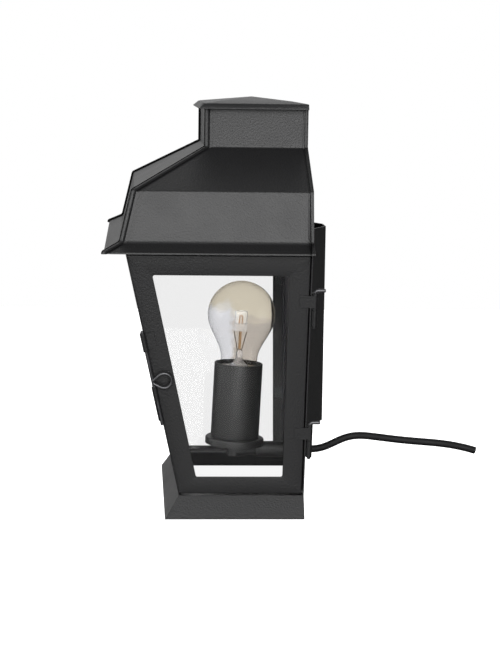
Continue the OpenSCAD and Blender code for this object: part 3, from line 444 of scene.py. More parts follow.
def seam_rows(f, s, rows):
    """Rows of a seam along the right hip: the roof line raised by a height, at a distance to the front
    (below 0) or to the side (above 0) of the hip, over the same line a small gap above the sheet."""
    grid = []
    for distance, height in rows:
        section = np.vstack([shifted(f.roof_line, height), shifted(f.roof_line, SEAM_GAP)[::-1]])
        r, z = section.T
        x = f.half_w + r + min(distance, 0) * SQUARE
        y = -(s.body_d + r) + max(distance, 0) * SQUARE
        grid.append(np.stack([x, y, z], -1))
    return np.array(grid)


def mirrored(solid):
    """The same skin on the left, with x turned to -x."""
    points, faces = solid
    return points * np.array([-1, 1, 1]), faces


# Materials by the name of their finish
FINISHES = {}


def add(tree, kind, inputs=None, **settings):
    """A node with its settings, its values and its links."""
    node = tree.nodes.new(kind)
    for key, value in settings.items():
        setattr(node, key, value)
    for socket, value in (inputs or {}).items():
        if isinstance(value, bpy.types.NodeSocket):
            tree.links.new(value, node.inputs[socket])
        else:
            node.inputs[socket].default_value = value
    return node


def new_finish(slot, name):
    """An empty material kept under its slot, with its tree and its surface shader."""
    material = bpy.data.materials.new(name)
    material.use_nodes = True
    tree = material.node_tree
    FINISHES[slot] = material
    return tree, tree.nodes["Principled BSDF"]


def grained(slot, name, base, spread, roughness, grain, bump, metallic=0.0, broad=40.0):
    """Finish whose colour and gloss vary, by spread and by roughness, over patches of a broad size, while a
    fine grain stands up as a bump, both sizes in millimetres. It gives back its surface shader."""
    tree, shader = new_finish(slot, name)
    place = add(tree, "ShaderNodeTexCoord").outputs["Object"]
    patches = add(tree, "ShaderNodeTexNoise", {"Vector": place, "Scale": 1 / (broad * MM), "Detail": 3.0})
    fine = add(tree, "ShaderNodeTexNoise", {"Vector": place, "Scale": 1 / (grain * MM), "Detail": 2.0})
    low, high = (tuple(min(1.0, c * (1 + k)) for c in base) for k in (-spread, spread))
    mixed = add(tree, "ShaderNodeMix", {0: patches.outputs["Fac"], 6: (*low, 1), 7: (*high, 1)},
                data_type="RGBA")
    shine = add(tree, "ShaderNodeMapRange", {"Value": patches.outputs["Fac"], "From Min": 0.3,
                                             "From Max": 0.7, "To Min": roughness[0], "To Max": roughness[1]})
    raised = add(tree, "ShaderNodeBump", {"Height": fine.outputs["Fac"], "Strength": bump,
                                          "Distance": grain * MM * 0.25})
    tree.links.new(mixed.outputs[2], shader.inputs["Base Color"])
    tree.links.new(shine.outputs["Result"], shader.inputs["Roughness"])
    tree.links.new(raised.outputs["Normal"], shader.inputs["Normal"])
    shader.inputs["Metallic"].default_value = metallic
    return shader


def set_values(shader, values):
    """Values that are the same all over the surface, set on the shader's own sockets."""
    for socket, value in values.items():
        shader.inputs[socket].default_value = value


def make_paints(c):
    """Paints, rubber and the other opaque coats."""
    # Powder coat, sprayed and baked: satin black with a faint orange peel of about 1.5 mm
    grained("black_paint", "Black powder coat", c.paint, 0.15, (0.455, 0.50), 1.5, 0.75, broad=30)
    # Stove paint: a little greyer and flatter, with a fine dry grain
    grained("holder_paint", "Heat-proof stove paint", c.holder, 0.08, (0.48, 0.56), 0.9, 0.12, broad=30)
    # Porcelain: white body under a smooth glaze
    grained("porcelain", "Glazed porcelain", c.porcelain, 0.03, (0.16, 0.24), 2.0, 0.04, broad=18)
    # Vitrite: black glass, poured and pressed
    grained("insulator", "Black vitrite glass", c.vitrite, 0.15, (0.10, 0.18), 1.5, 0.04, broad=6)
    # Rubber sheath, extruded: matt black with a fine drag along it, drawn a little coarse so that it shows
    shader = grained("rubber", "Extruded rubber", c.rubber, 0.18, (0.55, 0.68), 0.8, 0.2, broad=14)
    set_values(shader, {"Specular IOR Level": 0.25})
    # Dead matt black ridge along the hips with a slight ripple, a painted shade for the shadowed gaps there
    shader = grained("hip_shade", "Black sealing compound", c.hip_shade, 0.2, (0.80, 0.92), 2.5, 0.2, broad=20)
    set_values(shader, {"Specular IOR Level": 0.08})
    # PVC sleeve of a single wire: brown, half matt
    grained("lead_sleeve", "PVC wire sleeve", c.sleeving, 0.08, (0.38, 0.48), 0.6, 0.08, broad=8)


def make_metals(c):
    """Wires, clips, turned pieces and plated ones."""
    # Drawn steel wire, blackened: dark and slightly metallic
    grained("wire", "Blackened steel wire", c.wire, 0.15, (0.32, 0.45), 0.6, 0.15, metallic=0.8, broad=12)
    # Phosphated spring steel: dull dark grey with a soft bloom
    grained("clip", "Phosphated spring steel", c.spring, 0.12, (0.38, 0.52), 0.8, 0.08, metallic=0.6, broad=9)
    # Turned brass: yellow, with fine tool marks
    grained("brass", "Turned brass", c.brass, 0.10, (0.22, 0.34), 0.5, 0.08, metallic=1.0, broad=10)
    # Nickel plate over rolled brass: warm bright grey
    grained("nickel", "Nickel plated brass", c.nickel, 0.06, (0.16, 0.26), 0.6, 0.05, metallic=1.0, broad=9)
    # Lead wires inside the bulb: drawn nickel steel, slightly tarnished
    grained("lead", "Drawn nickel steel", c.lead, 0.12, (0.30, 0.42), 0.4, 0.08, metallic=1.0, broad=5)
    # Coiled filament wire: its orange is a painted reflection of warm light, with a faint painted glow of its
    # own so that it shows through the capsule
    shader = grained("tungsten", "Burned tungsten wire", c.filament, 0.2, (0.40, 0.55), 0.3, 0.1, broad=3)
    set_values(shader, {"Emission Color": (*c.painted_glow, 1), "Emission Strength": 0.25})


def make_pane_glass(c):
    """Float glass: clear, with the faintest roll of its two faces."""
    tree, shader = new_finish("pane", "Float glass")
    place = add(tree, "ShaderNodeTexCoord").outputs["Object"]
    roll = add(tree, "ShaderNodeTexNoise", {"Vector": place, "Scale": 1 / (70 * MM), "Detail": 1.0})
    wave = add(tree, "ShaderNodeBump", {"Height": roll.outputs["Fac"], "Strength": 0.03, "Distance": 1 * MM})
    tree.links.new(wave.outputs["Normal"], shader.inputs["Normal"])
    set_values(shader, {"Base Color": (*c.pane, 1), "Transmission Weight": 1.0, "Roughness": 0.0,
                        "IOR": 1.15})


def make_bulb_glass(c):
    """Blown soda glass: clear and cool at the front of the neck, with a beige bloom of use over the crown and
    the rear, and a greyer painted shade low down. A noise of 8 mm makes the edges of the bloom and shade
    drift."""
    tree, shader = new_finish("bulb_glass", "Blown soda glass")
    place = add(tree, "ShaderNodeTexCoord").outputs["Object"]
    cloud = add(tree, "ShaderNodeTexNoise", {"Vector": place, "Scale": 1 / (8 * MM), "Detail": 2.0})
    drift = add(tree, "ShaderNodeVectorMath", {0: cloud.outputs["Color"], 1: (10 * MM,) * 3, 2: place},
                operation="MULTIPLY_ADD")
    parts = add(tree, "ShaderNodeSeparateXYZ", {"Vector": drift.outputs["Vector"]})
    back, high, low = (
        add(tree, "ShaderNodeMapRange", {"Value": parts.outputs[axis], "From Min": start, "From Max": full},
            interpolation_type="SMOOTHSTEP").outputs["Result"]
        for axis, (start, full) in (("Y", BLOOM_REAR), ("Z", BLOOM_CROWN), ("Z", SHADE_BELOW)))
    bloom = add(tree, "ShaderNodeMath", {0: back, 1: high}, operation="MAXIMUM")
    # The bloom turns to a greyer painted shade low down
    warm = add(tree, "ShaderNodeMix", {0: low, 6: (*c.crown, 1), 7: (*c.low_shade, 1)}, data_type="RGBA")
    blend = add(tree, "ShaderNodeMix", {0: bloom.outputs["Value"], 6: (*c.bulb, 1), 7: warm.outputs[2]},
                data_type="RGBA")
    tree.links.new(blend.outputs[2], shader.inputs["Base Color"])
    set_values(shader, {"Transmission Weight": 1.0, "Roughness": 0.0, "IOR": 1.25})


def make_capsule_glass(c):
    """Quartz capsule: faintly frosted, and bright with a faint painted glow, a pale block round the filament.
    """
    shader = grained("quartz", "Frosted quartz", c.quartz, 0.02, (0.02, 0.06), 1.2, 0.03, broad=6)
    # Faint painted glow: the capsule's emission, though the lamp is off
    set_values(shader, {"Transmission Weight": 0.92, "IOR": 1.15, "Emission Color": (*c.quartz, 1),
                        "Emission Strength": 0.08})


def make_stem_glass(c):
    """Lead glass stem: clear at its flared foot, with an amber rod above it."""
    tree, shader = new_finish("stem_glass", "Lead glass stem")
    place = add(tree, "ShaderNodeTexCoord").outputs["Object"]
    height = add(tree, "ShaderNodeSeparateXYZ", {"Vector": place})
    start, full = AMBER_FROM
    rod = add(tree, "ShaderNodeMapRange", {"Value": height.outputs["Z"], "From Min": start, "From Max": full})
    blend = add(tree, "ShaderNodeMix", {0: rod.outputs["Result"], 6: (*c.bulb, 1), 7: (*c.amber, 1)},
                data_type="RGBA")
    tree.links.new(blend.outputs[2], shader.inputs["Base Color"])
    set_values(shader, {"Transmission Weight": 0.8, "Roughness": 0.08, "IOR": 1.3})


def add_piece(name, solid, finish, body, stands_for, soften=0.0, flat_joined=False, sharp=32.0):
    """One mesh object from a closed skin: doubles merged, flats of a solid's copy joined, faces turned
    outwards, edges rounded by a bevel, and then bound to its body, with the solids it stands for hidden."""
    points, faces = solid
    mesh = bpy.data.meshes.new(name)
    mesh.from_pydata(points.tolist(), [], faces)
    work = bmesh.new()
    work.from_mesh(mesh)
    bmesh.ops.remove_doubles(work, verts=work.verts, dist=0.002 * MM)
    if flat_joined:
        bmesh.ops.dissolve_limit(work, angle_limit=math.radians(0.4), verts=work.verts, edges=work.edges)
    bmesh.ops.recalc_face_normals(work, faces=work.faces)
    work.to_mesh(mesh)
    work.free()
    mesh.shade_smooth()
    mesh.set_sharp_from_angle(angle=math.radians(sharp))
    mesh.materials.append(FINISHES[finish])
    piece = bpy.data.objects.new(name, mesh)
    bpy.context.scene.collection.objects.link(piece)
    if soften:
        bevel = piece.modifiers.new("Folded edges", "BEVEL")
        bevel.width = soften * MM
        bevel.segments = 2
        bevel.limit_method = "ANGLE"
        bevel.angle_limit = math.radians(30)
        bevel.harden_normals = True
    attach(piece, body)
    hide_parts(*stands_for)
    return piece


def placed(solid):
    """A skin moved from the rear plane and the foot to where the solids stand."""
    points, faces = solid
    return points + PLACE, faces


def copy_of(node):
    """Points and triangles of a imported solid, as a skin of its own."""
    mesh = frame["nodes"][node].data
    points = np.empty(len(mesh.vertices) * 3)
    mesh.vertices.foreach_get("co", points)
    corners = np.empty(len(mesh.loops), int)
    mesh.loops.foreach_get("vertex_index", corners)
    return points.reshape(-1, 3), corners.reshape(-1, 3).tolist()


def softened(node, finish, width):
    """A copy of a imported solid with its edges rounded."""
    body = frame["nodes"][node]["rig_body"]
    return add_piece(node + ".soft", copy_of(node), finish, body, [node], soften=width, flat_joined=True)


class LANTERN_OT_finishes(bpy.types.Operator):
    """Materials, each named for the real one"""
    bl_idname = "lantern.finishes"
    bl_label = "Finishes"

    def execute(self, context):
        colours = context.scene.lantern_colours
        for make in (make_paints, make_metals, make_pane_glass, make_bulb_glass, make_capsule_glass,
                     make_stem_glass):
            make(colours)
        return {"FINISHED"}


class LANTERN_OT_stage(bpy.types.Operator):
    """Camera, light and floor"""
    bl_idname = "lantern.stage"
    bl_label = "Stage"

    def execute(self, context):
        context.scene.view_settings.view_transform = "Standard"
        self.make_camera(context.scene)
        self.make_light(context.scene)
        self.make_floor(context)
        return {"FINISHED"}

    def make_camera(self, scene):
        """Camera at the photograph's angle: it looks along -x, turned by yaw about z, by pitch downwards and
        then by roll about its own line of sight."""
        yaw, pitch, roll = np.radians(CAMERA_TURN)
        ahead = np.array([-np.cos(yaw) * np.cos(pitch), -np.sin(yaw) * np.cos(pitch), -np.sin(pitch)])
        level = np.array([-np.sin(yaw), np.cos(yaw), 0.0])
        upright = np.cross(level, ahead)
        right = np.cos(roll) * level + np.sin(roll) * upright
        up = np.cos(roll) * upright - np.sin(roll) * level
        lens = bpy.data.cameras.new("Camera")
        lens.sensor_width = SENSOR_WIDTH
        lens.lens = FOCAL_LENGTH * SENSOR_WIDTH / PHOTO_LONG_SIDE
        camera = bpy.data.objects.new("Camera", lens)
        matrix = np.eye(4)
        matrix[:3] = np.column_stack([right, up, -ahead, CAMERA_PLACE])
        scene.collection.objects.link(camera)
        camera.matrix_world = Matrix(matrix.tolist())
        scene.camera = camera

    def make_light(self, scene):
        """Sky of soft studio light: the sum of broad glows, each a strength times a power of the cosine from
        its middle, over a faint even light. Straight to the eye and through glass it is plain white."""
        world = bpy.data.worlds.new("Studio")
        world.use_nodes = True
        scene.world = world
        tree = world.node_tree
        tree.nodes.clear()
        way = add(tree, "ShaderNodeTexCoord").outputs["Generated"]
        total = EVEN_LIGHT
        for middle, power, strength in GLOWS:
            cosine = add(tree, "ShaderNodeVectorMath", {0: way, 1: tuple(unit(np.array(middle)))},
                         operation="DOT_PRODUCT")
            facing = add(tree, "ShaderNodeMath", {0: cosine.outputs["Value"], 1: 0.0}, operation="MAXIMUM")
            narrow = add(tree, "ShaderNodeMath", {0: facing.outputs["Value"], 1: power}, operation="POWER")
            total = add(tree, "ShaderNodeMath", {0: narrow.outputs["Value"], 1: strength, 2: total},
                        operation="MULTIPLY_ADD").outputs["Value"]
        studio = add(tree, "ShaderNodeBackground", {"Color": (1, 1, 1, 1), "Strength": total})
        white = add(tree, "ShaderNodeBackground", {"Color": (1, 1, 1, 1), "Strength": 1.0})
        ray = add(tree, "ShaderNodeLightPath")
        turns = add(tree, "ShaderNodeMath", {0: ray.outputs["Diffuse Depth"], 1: ray.outputs["Glossy Depth"]},
                    operation="ADD")
        straight = add(tree, "ShaderNodeMath", {0: turns.outputs["Value"], 1: 0.5}, operation="LESS_THAN")
        clear = add(tree, "ShaderNodeMath", {0: ray.outputs["Is Transmission Ray"],
                                             1: straight.outputs["Value"]}, operation="MULTIPLY")
        seen = add(tree, "ShaderNodeMath", {0: ray.outputs["Is Camera Ray"], 1: clear.outputs["Value"]},
                   operation="MAXIMUM")
        mix = add(tree, "ShaderNodeMixShader", {"Fac": seen.outputs["Value"], 1: studio.outputs["Background"],
                                                2: white.outputs["Background"]})
        add(tree, "ShaderNodeOutputWorld", {"Surface": mix.outputs["Shader"]})

    def make_floor(self, context):
        """Pale floor well below the lantern, a flat square seen by the eye alone."""
        mesh = bpy.data.meshes.new("Floor")
        square = np.array([[-1, -1, 0], [1, -1, 0], [1, 1, 0], [-1, 1, 0]])
        corners = square * FLOOR_HALF - [0, 0, FLOOR_DEPTH]
        mesh.from_pydata(corners.tolist(), [], [[0, 1, 2, 3]])
        material = bpy.data.materials.new("Pale studio floor")
        material.use_nodes = True
        shader = material.node_tree.nodes["Principled BSDF"]
        tone = (*context.scene.lantern_colours.floor, 1)
        set_values(shader, {"Base Color": tone, "Emission Color": tone, "Emission Strength": 1.0})
        mesh.materials.append(material)
        floor = bpy.data.objects.new("Floor", mesh)
        floor.visible_glossy = floor.visible_diffuse = floor.visible_transmission = False
        context.scene.collection.objects.link(floor)


class LANTERN_OT_cord(bpy.types.Operator):
    """Supply cord with its cut end"""
    bl_idname = "lantern.cord"
    bl_label = "Cord"

    def execute(self, context):
        s = context.scene.lantern_sizes
        # Way back from the gland and rise, in millimetres, as the cord runs in the photograph
        route = np.array([
            [0, 0], [5, 0.3], [10, 1.3], [15, 3], [20, 5.3], [25, 7.7], [30, 9.8], [35, 11.3], [40, 12.1],
            [45, 12.3], [51, 12], [58, 11.2], [67, 10.1], [77, 8.9], [89, 7.7], [101, 6.7], [113, 5.7],
            [123, 4.5], [132, 3], [141, 1], [149, -1.2],
        ]) * MM
        start = np.array([0, GLAND_END, s.arm_z])
        path = smooth_path(start + np.column_stack([np.zeros(len(route)), route]), 4) + PLACE
        cord = add_piece("cord_sheath", wire(path, s.cord_r, sides=24, end_round=0.12), "rubber", "frame",
                         ["supply_cord"])
        return {"FINISHED"}


class LANTERN_OT_roof(bpy.types.Operator):
    """Bent roof sheets with their seams, and the cap"""
    bl_idname = "lantern.roof"
    bl_label = "Roof"

    def execute(self, context):
        s = context.scene.lantern_sizes
        f = Form(s)
        side = self.side_sheet(f, s)
        add_piece("roof_right_sheet", placed(side), "black_paint", "frame", ["roof_right_panel"])
        add_piece("roof_left_sheet", placed(mirrored(side)), "black_paint", "frame", ["roof_left_panel"])
        hip, shade_ridge, rear = self.hip_seam(f, s), self.hip_shade_ridge(f, s), self.rear_seam(f, s)
        front = joined(self.front_sheet(f, s), hip, mirrored(hip))
        add_piece("roof_front_sheet", placed(front), "black_paint", "frame", ["roof_front_panel"])
        # Painted shade: dead black ridges beside both hips' beads, where the gaps lie in shadow
        shade_ridges = joined(shade_ridge, mirrored(shade_ridge))
        add_piece("roof_hip_seal", placed(shade_ridges), "hip_shade", "frame", ["roof_front_panel"])
        back = joined(self.back_sheet(f, s), rear, mirrored(rear))
        add_piece("roof_back_sheet", placed(back), "black_paint", "frame", ["roof_back_panel"], soften=0.3)
        add_piece("cap_sheet", placed(self.cap(f, s)), "black_paint", "frame", ["chimney_cap"])
        return {"FINISHED"}

    def side_sheet(self, f, s):
        """Side sheet: the bent line, given the sheet's thickness, carried from the hip to the rear edge.
        Beside the seam at either end its outer side is sunk, which leaves a groove, and the hip's groove runs
        out in a shallow hollow."""
        slope = 0.15 * MM
        hip_end, rear_end = s.lap_w + s.groove_w, s.rear_lap_w + s.groove_w
        hollow = ((slope, 0.3 * MM), (1.8 * MM, 0.1 * MM), (4 * MM, 0))
        rows = [("hip", 0, s.groove_t), ("hip", hip_end - slope, s.groove_t)]
        rows += [("hip", hip_end + distance, sink) for distance, sink in hollow]
        rows += [("rear", rear_end + slope, 0), ("rear", rear_end - slope, s.groove_t),
                 ("rear", 0, s.groove_t)]
        grid = []
        for end, distance, sink in rows:
            section = np.vstack([shifted(f.roof_line, -sink), shifted(f.roof_line, -s.sheet)[::-1]])
            r, z = section.T
            y = -(s.body_d + r) + distance * SQUARE if end == "hip" else np.full(len(r), -distance)
            grid.append(np.stack([f.half_w + r, y, z], -1))
        return skin(np.array(grid))

    def front_sheet(self, f, s):
        """Front sheet: the same bent line carried from one hip to the other."""
        section = np.vstack([f.roof_line, shifted(f.roof_line, -s.sheet)[::-1]])
        r, z = section.T
        return skin(np.array([np.stack([k * (f.half_w + r), -(s.body_d + r), z], -1) for k in (-1, 1)]))

    def hip_seam(self, f, s):
        """Lap of the front sheet round the right hip: a rounded bead with a rim on the front and the side."""
        rim, turn = 1.6 * MM, 0.6 * MM
        rows = [(-rim, 0.3 * s.bead_t), (-0.85 * rim, s.bead_t), (-turn, s.bead_t), (turn, s.bead_t),
                (0.8 * s.lap_w, s.bead_t), (0.93 * s.lap_w, 0.8 * s.bead_t), (s.lap_w, 0.35 * s.bead_t)]
        return skin(seam_rows(f, s, rows))

    def hip_shade_ridge(self, f, s):
        """Dead matt black ridge on the front sheet, close along the right hip's bead: painted shade of the
        gap there.
        Its height stays below the bend radius at the chimney's foot, or the ridge would fold over itself
        there."""
        high = s.bead_t + 0.6 * MM
        rows = [(-2.7 * MM, 0.2 * MM), (-2.5 * MM, 0.75 * high), (-2.1 * MM, high), (-1.5 * MM, high),
                (-1.1 * MM, 0.9 * high)]
        return skin(seam_rows(f, s, rows))

    def back_sheet(self, f, s):
        """Back sheet: the outline of the whole roof seen from behind, one sheet thick."""
        r, z = shifted(f.roof_line, s.lap_t).T
        x = np.concatenate([f.half_w + r, -(f.half_w + r)[::-1]])
        loop = np.concatenate([z, z[::-1]])
        return skin(np.array([np.stack([x, np.full(len(x), y), loop], -1) for y in (0, s.sheet)]))

    def rear_seam(self, f, s):
        """Flange of the back sheet, folded forward over the rear edge of the right side sheet."""
        rows = [(0.5 * s.sheet, s.lap_t), (-0.8 * s.rear_lap_w, s.lap_t), (-s.rear_lap_w, 0.4 * s.lap_t)]
        grid = []
        for y, height in rows:
            section = np.vstack([shifted(f.roof_line, height), shifted(f.roof_line, SEAM_GAP)[::-1]])
            r, z = section.T
            grid.append(np.stack([f.half_w + r, np.full(len(r), y), z], -1))
        return skin(np.array(grid))

    def cap(self, f, s):
        """Cap: a shallow pyramid over a rectangle, and a leaning lip carried round three of its sides."""
        x0, y0 = f.half_w + f.chimney_r + s.cap_out, s.body_d + f.chimney_r + s.cap_out
        run, front = s.cap_lip_run, s.cap_front_run / s.cap_lip_run
        foot, top = f.cap_z + 0.6 * MM, f.cap_z + s.cap_lip
        apex = np.array([0, -(s.body_d + f.chimney_r) / 2, top + s.cap_rise])
        rim = ((0.35 * MM, -s.sheet), (0, -0.8 * s.sheet), (0.1 * MM, -0.25 * s.sheet), (0.9 * MM, 0.05 * MM))
        rows = []
        for inset, rise in rim:
            x, y, rear = x0 - run - inset, y0 - s.cap_front_run - inset, s.sheet - inset
            corners = np.array([[x, -y], [x, rear], [-x, rear], [-x, -y]])
            loop = rounded(corners, 0.8 * MM, closed=True, steps=4)
            rows.append(np.column_stack([loop, np.full(len(loop), top + rise)]))
        rows.append(np.broadcast_to(apex, rows[0].shape))
        lean, lip_top = s.sheet * math.hypot(run, s.cap_lip) / s.cap_lip, top - 0.3 * MM
        lip = rounded(np.array([[0, foot], [-run, lip_top], [-run - lean, lip_top], [-lean, foot]]),
                      np.array([0.45, 0.2, 0.2, 0.45]) * MM, closed=True, steps=3)
        return joined(skin(np.array(rows)), u_run(lip, x0, y0, s.sheet, 0.8 * MM, front=front))


def u_run(section, half_w, depth, rear, corner, steps=5, front=1.0):
    """Closed section of outward run and height, carried round a U: along the right side from the rear, across
    the front and back along the left side, with its two corners turned about a small upright axis. On the
    front its inward run is multiplied."""
    out, z = section.T
    a = np.linspace(0, math.pi / 2, steps + 1)[:, None]
    radius = np.maximum(corner + out, 0)[None]
    inward = np.minimum(corner + out, 0)[None]
    x = half_w - corner + inward + radius * np.cos(a)
    y = -(depth - corner) - inward * front - radius * np.sin(a)
    high = np.broadcast_to(z, x.shape)
    right = np.stack([x, y, high], -1)
    start = np.stack([half_w + out, np.full(len(out), rear), z], -1)[None]
    half = np.concatenate([start, right])
    return skin(np.concatenate([half, half[::-1] * [-1, 1, 1]]))


class LANTERN_OT_body(bpy.types.Operator):
    """Posts, head ring, plinth, back plate, wall bracket and pane clips"""
    bl_idname = "lantern.body"
    bl_label = "Body"

    def execute(self, context):
        s = context.scene.lantern_sizes
        f = Form(s)
        for node in ("front_left_post", "front_right_post", "rear_left_post", "rear_right_post"):
            softened(node, "black_paint", 0.35)
        add_piece("head_sheet", placed(self.head_ring(f, s)), "black_paint", "frame", ["head_frame"])
        softened("plinth", "black_paint", 0.5)
        softened("back_plate", "black_paint", 0.3)
        softened("wall_bracket", "black_paint", 0.5)
        softened("bracket_rivets", "black_paint", 0.45)
        softened("pane_clips", "clip", 0.2)
        softened("door_glass_clips", "clip", 0.2)
        return {"FINISHED"}

    def head_ring(self, f, s):
        """Head ring: an angle section carried round three sides under the roof, and a rail above each of the
        two fixed panes."""
        rise, lean, gap, arris = 6.3 * MM, math.tan(f.lean), 0.05 * MM, 0.25 * MM
        out, z = s.body_lean, f.eave_z
        section = rounded(np.array([
            [out - s.ring_w, z], [out, z], [out + rise * lean, z + rise],
            [out - s.sheet + rise * lean, z + rise], [out - s.sheet + s.sheet * lean, z + s.sheet],
            [out - s.ring_w, z + s.sheet]]), arris, closed=True, steps=2)
        run = s.post_w / math.cos(f.edge) + gap
        front_end = (s.door_depth + DOOR_ROOM) / math.cos(f.lean)
        low, high = (s.body_h - s.head_rail) / math.cos(f.lean), (s.body_h - gap) / math.cos(f.lean)
        rear = REAR_SET_BACK - s.post_w - gap

        def front(d):
            sides = [(run - f.half_w + d, -f.edge_run), (f.half_w - front_end - run - d, f.edge_run)]
            return np.array([[sides[k][0] + sides[k][1] * u, u] for k, u in (
                (0, low + d), (1, low + d), (1, high - d), (0, high - d))])

        def left(d):
            foot = run - s.body_d + d
            return np.array([[foot - f.edge_run * low, low + d], [rear - d, low + d], [rear - d, high - d],
                             [foot - f.edge_run * high, high - d]])

        return joined(u_run(section, f.half_w, s.body_d, 0, 0.6 * MM),
                      plate(front, -s.sheet, 0, arris, f.front_face, 0.3 * MM),
                      plate(left, -s.sheet, 0, arris, f.left_face, 0.3 * MM))


class LANTERN_OT_door(bpy.types.Operator):
    """Folded door frame"""
    bl_idname = "lantern.door"
    bl_label = "Door"

    def execute(self, context):
        s = context.scene.lantern_sizes
        f = Form(s)
        fold, hem, arris = 1.0 * MM, 0.45 * MM, 0.2 * MM
        a = np.linspace(0, math.pi / 2, 5)
        outer = [(0, arris - s.door_depth)]
        outer += list(zip(fold * (1 - np.cos(a)), fold * (np.sin(a) - 1)))
        edge = list(zip(hem * (1 - np.sin(a)), hem * (np.cos(a) - 1)))
        edge += [(0, arris - s.sheet), (arris, -s.sheet)]
        inner = [(s.sheet, -s.sheet), (s.sheet, -s.door_depth), (arris, -s.door_depth)]
        rim, opening = self.outline(f, s), self.window(f, s)
        bands = ((outer, rim, fold), (edge, opening, s.window_round), (inner, rim, fold))
        grid = []
        for rows, loop_of, corner in bands:
            for inset, x in rows:
                grown = inset if rows is edge else -inset
                loop = rounded(loop_of(inset), max(corner + grown, 0.1 * MM), closed=True, steps=5)
                grid.append(np.column_stack([np.full(len(loop), x), loop]))
        solid = skin(set_in(np.array(grid), f.right_face), round_rows=True)
        add_piece("door_sheet", placed(solid), "black_paint", "door", ["door_frame"])
        return {"FINISHED"}

    @staticmethod
    def edges(f, s, rear, front, low, high):
        """Corners of a leaning four-sided outline, drawn in from the door's four edges."""
        def front_y(u):
            return -(s.body_d + f.edge_run * u) + (s.door_gap + front) / math.cos(f.edge)
        bottom, top = f.door_low + low, f.door_high - high
        back = -s.door_gap - rear
        return np.array([[back, bottom], [back, top], [front_y(top), top], [front_y(bottom), bottom]])

    @classmethod
    def outline(cls, f, s):
        """The door's outline, to be drawn in by a distance."""
        return lambda d: cls.edges(f, s, d, d, d, d)

    @classmethod
    def window(cls, f, s, tuck=0.0):
        """The door's window, let out by a tuck, to be let out further by a distance."""
        members = np.array([s.door_stile, s.door_stile, s.door_bottom_rail, s.door_top_rail])
        return lambda d: cls.edges(f, s, *(members - d - tuck))


class LANTERN_OT_panes(bpy.types.Operator):
    """Three panes with ground edges"""
    bl_idname = "lantern.panes"
    bl_label = "Panes"

    def execute(self, context):
        s = context.scene.lantern_sizes
        f = Form(s)
        low, high, arris = -s.sheet - s.pane, -s.sheet, 0.35 * MM
        top = (s.body_h - s.head_rail + s.pane_tuck) / math.cos(f.lean)
        tuck = (s.post_w - s.pane_tuck) / math.cos(f.edge)
        front_end = (s.door_depth + DOOR_ROOM) / math.cos(f.lean)
        rear_tuck = s.pane_tuck - s.post_w + REAR_SET_BACK

        def front(d):
            left, right = tuck - f.half_w + d, f.half_w - front_end - tuck - d
            return np.array([[left, d], [right, d], [right + f.edge_run * top, top - d],
                             [left - f.edge_run * top, top - d]])

        def left(d):
            foot, rear = tuck - s.body_d + d, rear_tuck - d
            return np.array([[foot, d], [rear, d], [rear, top - d], [foot - f.edge_run * top, top - d]])

        window = LANTERN_OT_door.window(f, s, s.pane_tuck)
        for name, outline, place, node, body in (
                ("front_pane", front, f.front_face, "front_glass", "frame"),
                ("left_pane", left, f.left_face, "left_glass", "frame"),
                ("door_pane", lambda d: window(-d), f.right_face, "door_glass", "door")):
            solid = plate(outline, low, high, arris, place, 0.5 * MM)
            pane = add_piece(name, placed(solid), "pane", body, [node])
            pane.visible_shadow = False
        return {"FINISHED"}


class LANTERN_OT_hinges(bpy.types.Operator):
    """Hinge knuckles and bent pins"""
    bl_idname = "lantern.hinges"
    bl_label = "Hinges"

    def execute(self, context):
        s = context.scene.lantern_sizes
        f = Form(s)
        axis_x, axis_y, below, above, bend_r = -1.5 * MM, 4 * MM, 2 * MM, 0.4 * MM, 2.2 * MM
        for height, level in (("upper", s.upper_hinge_z), ("lower", s.lower_hinge_z)):
            softened(height + "_frame_knuckle", "black_paint", 0.25)
            softened(height + "_door_knuckle", "black_paint", 0.25)
            middle = np.array([axis_x, axis_y, (level - s.plinth_h) / math.cos(f.lean)])
            low, top = -s.knuckle_l - below, s.knuckle_l + s.hinge_pin_r + above
            corners = middle + np.array([[0, 0, low], [0, 0, top], [0, s.pin_bend, top]])
            path = set_in(bent(corners, bend_r), f.right_face)
            add_piece(height + "_pin_wire", placed(wire(path, s.hinge_pin_r)), "wire", "frame",
                      [height + "_hinge_pin"])
        return {"FINISHED"}


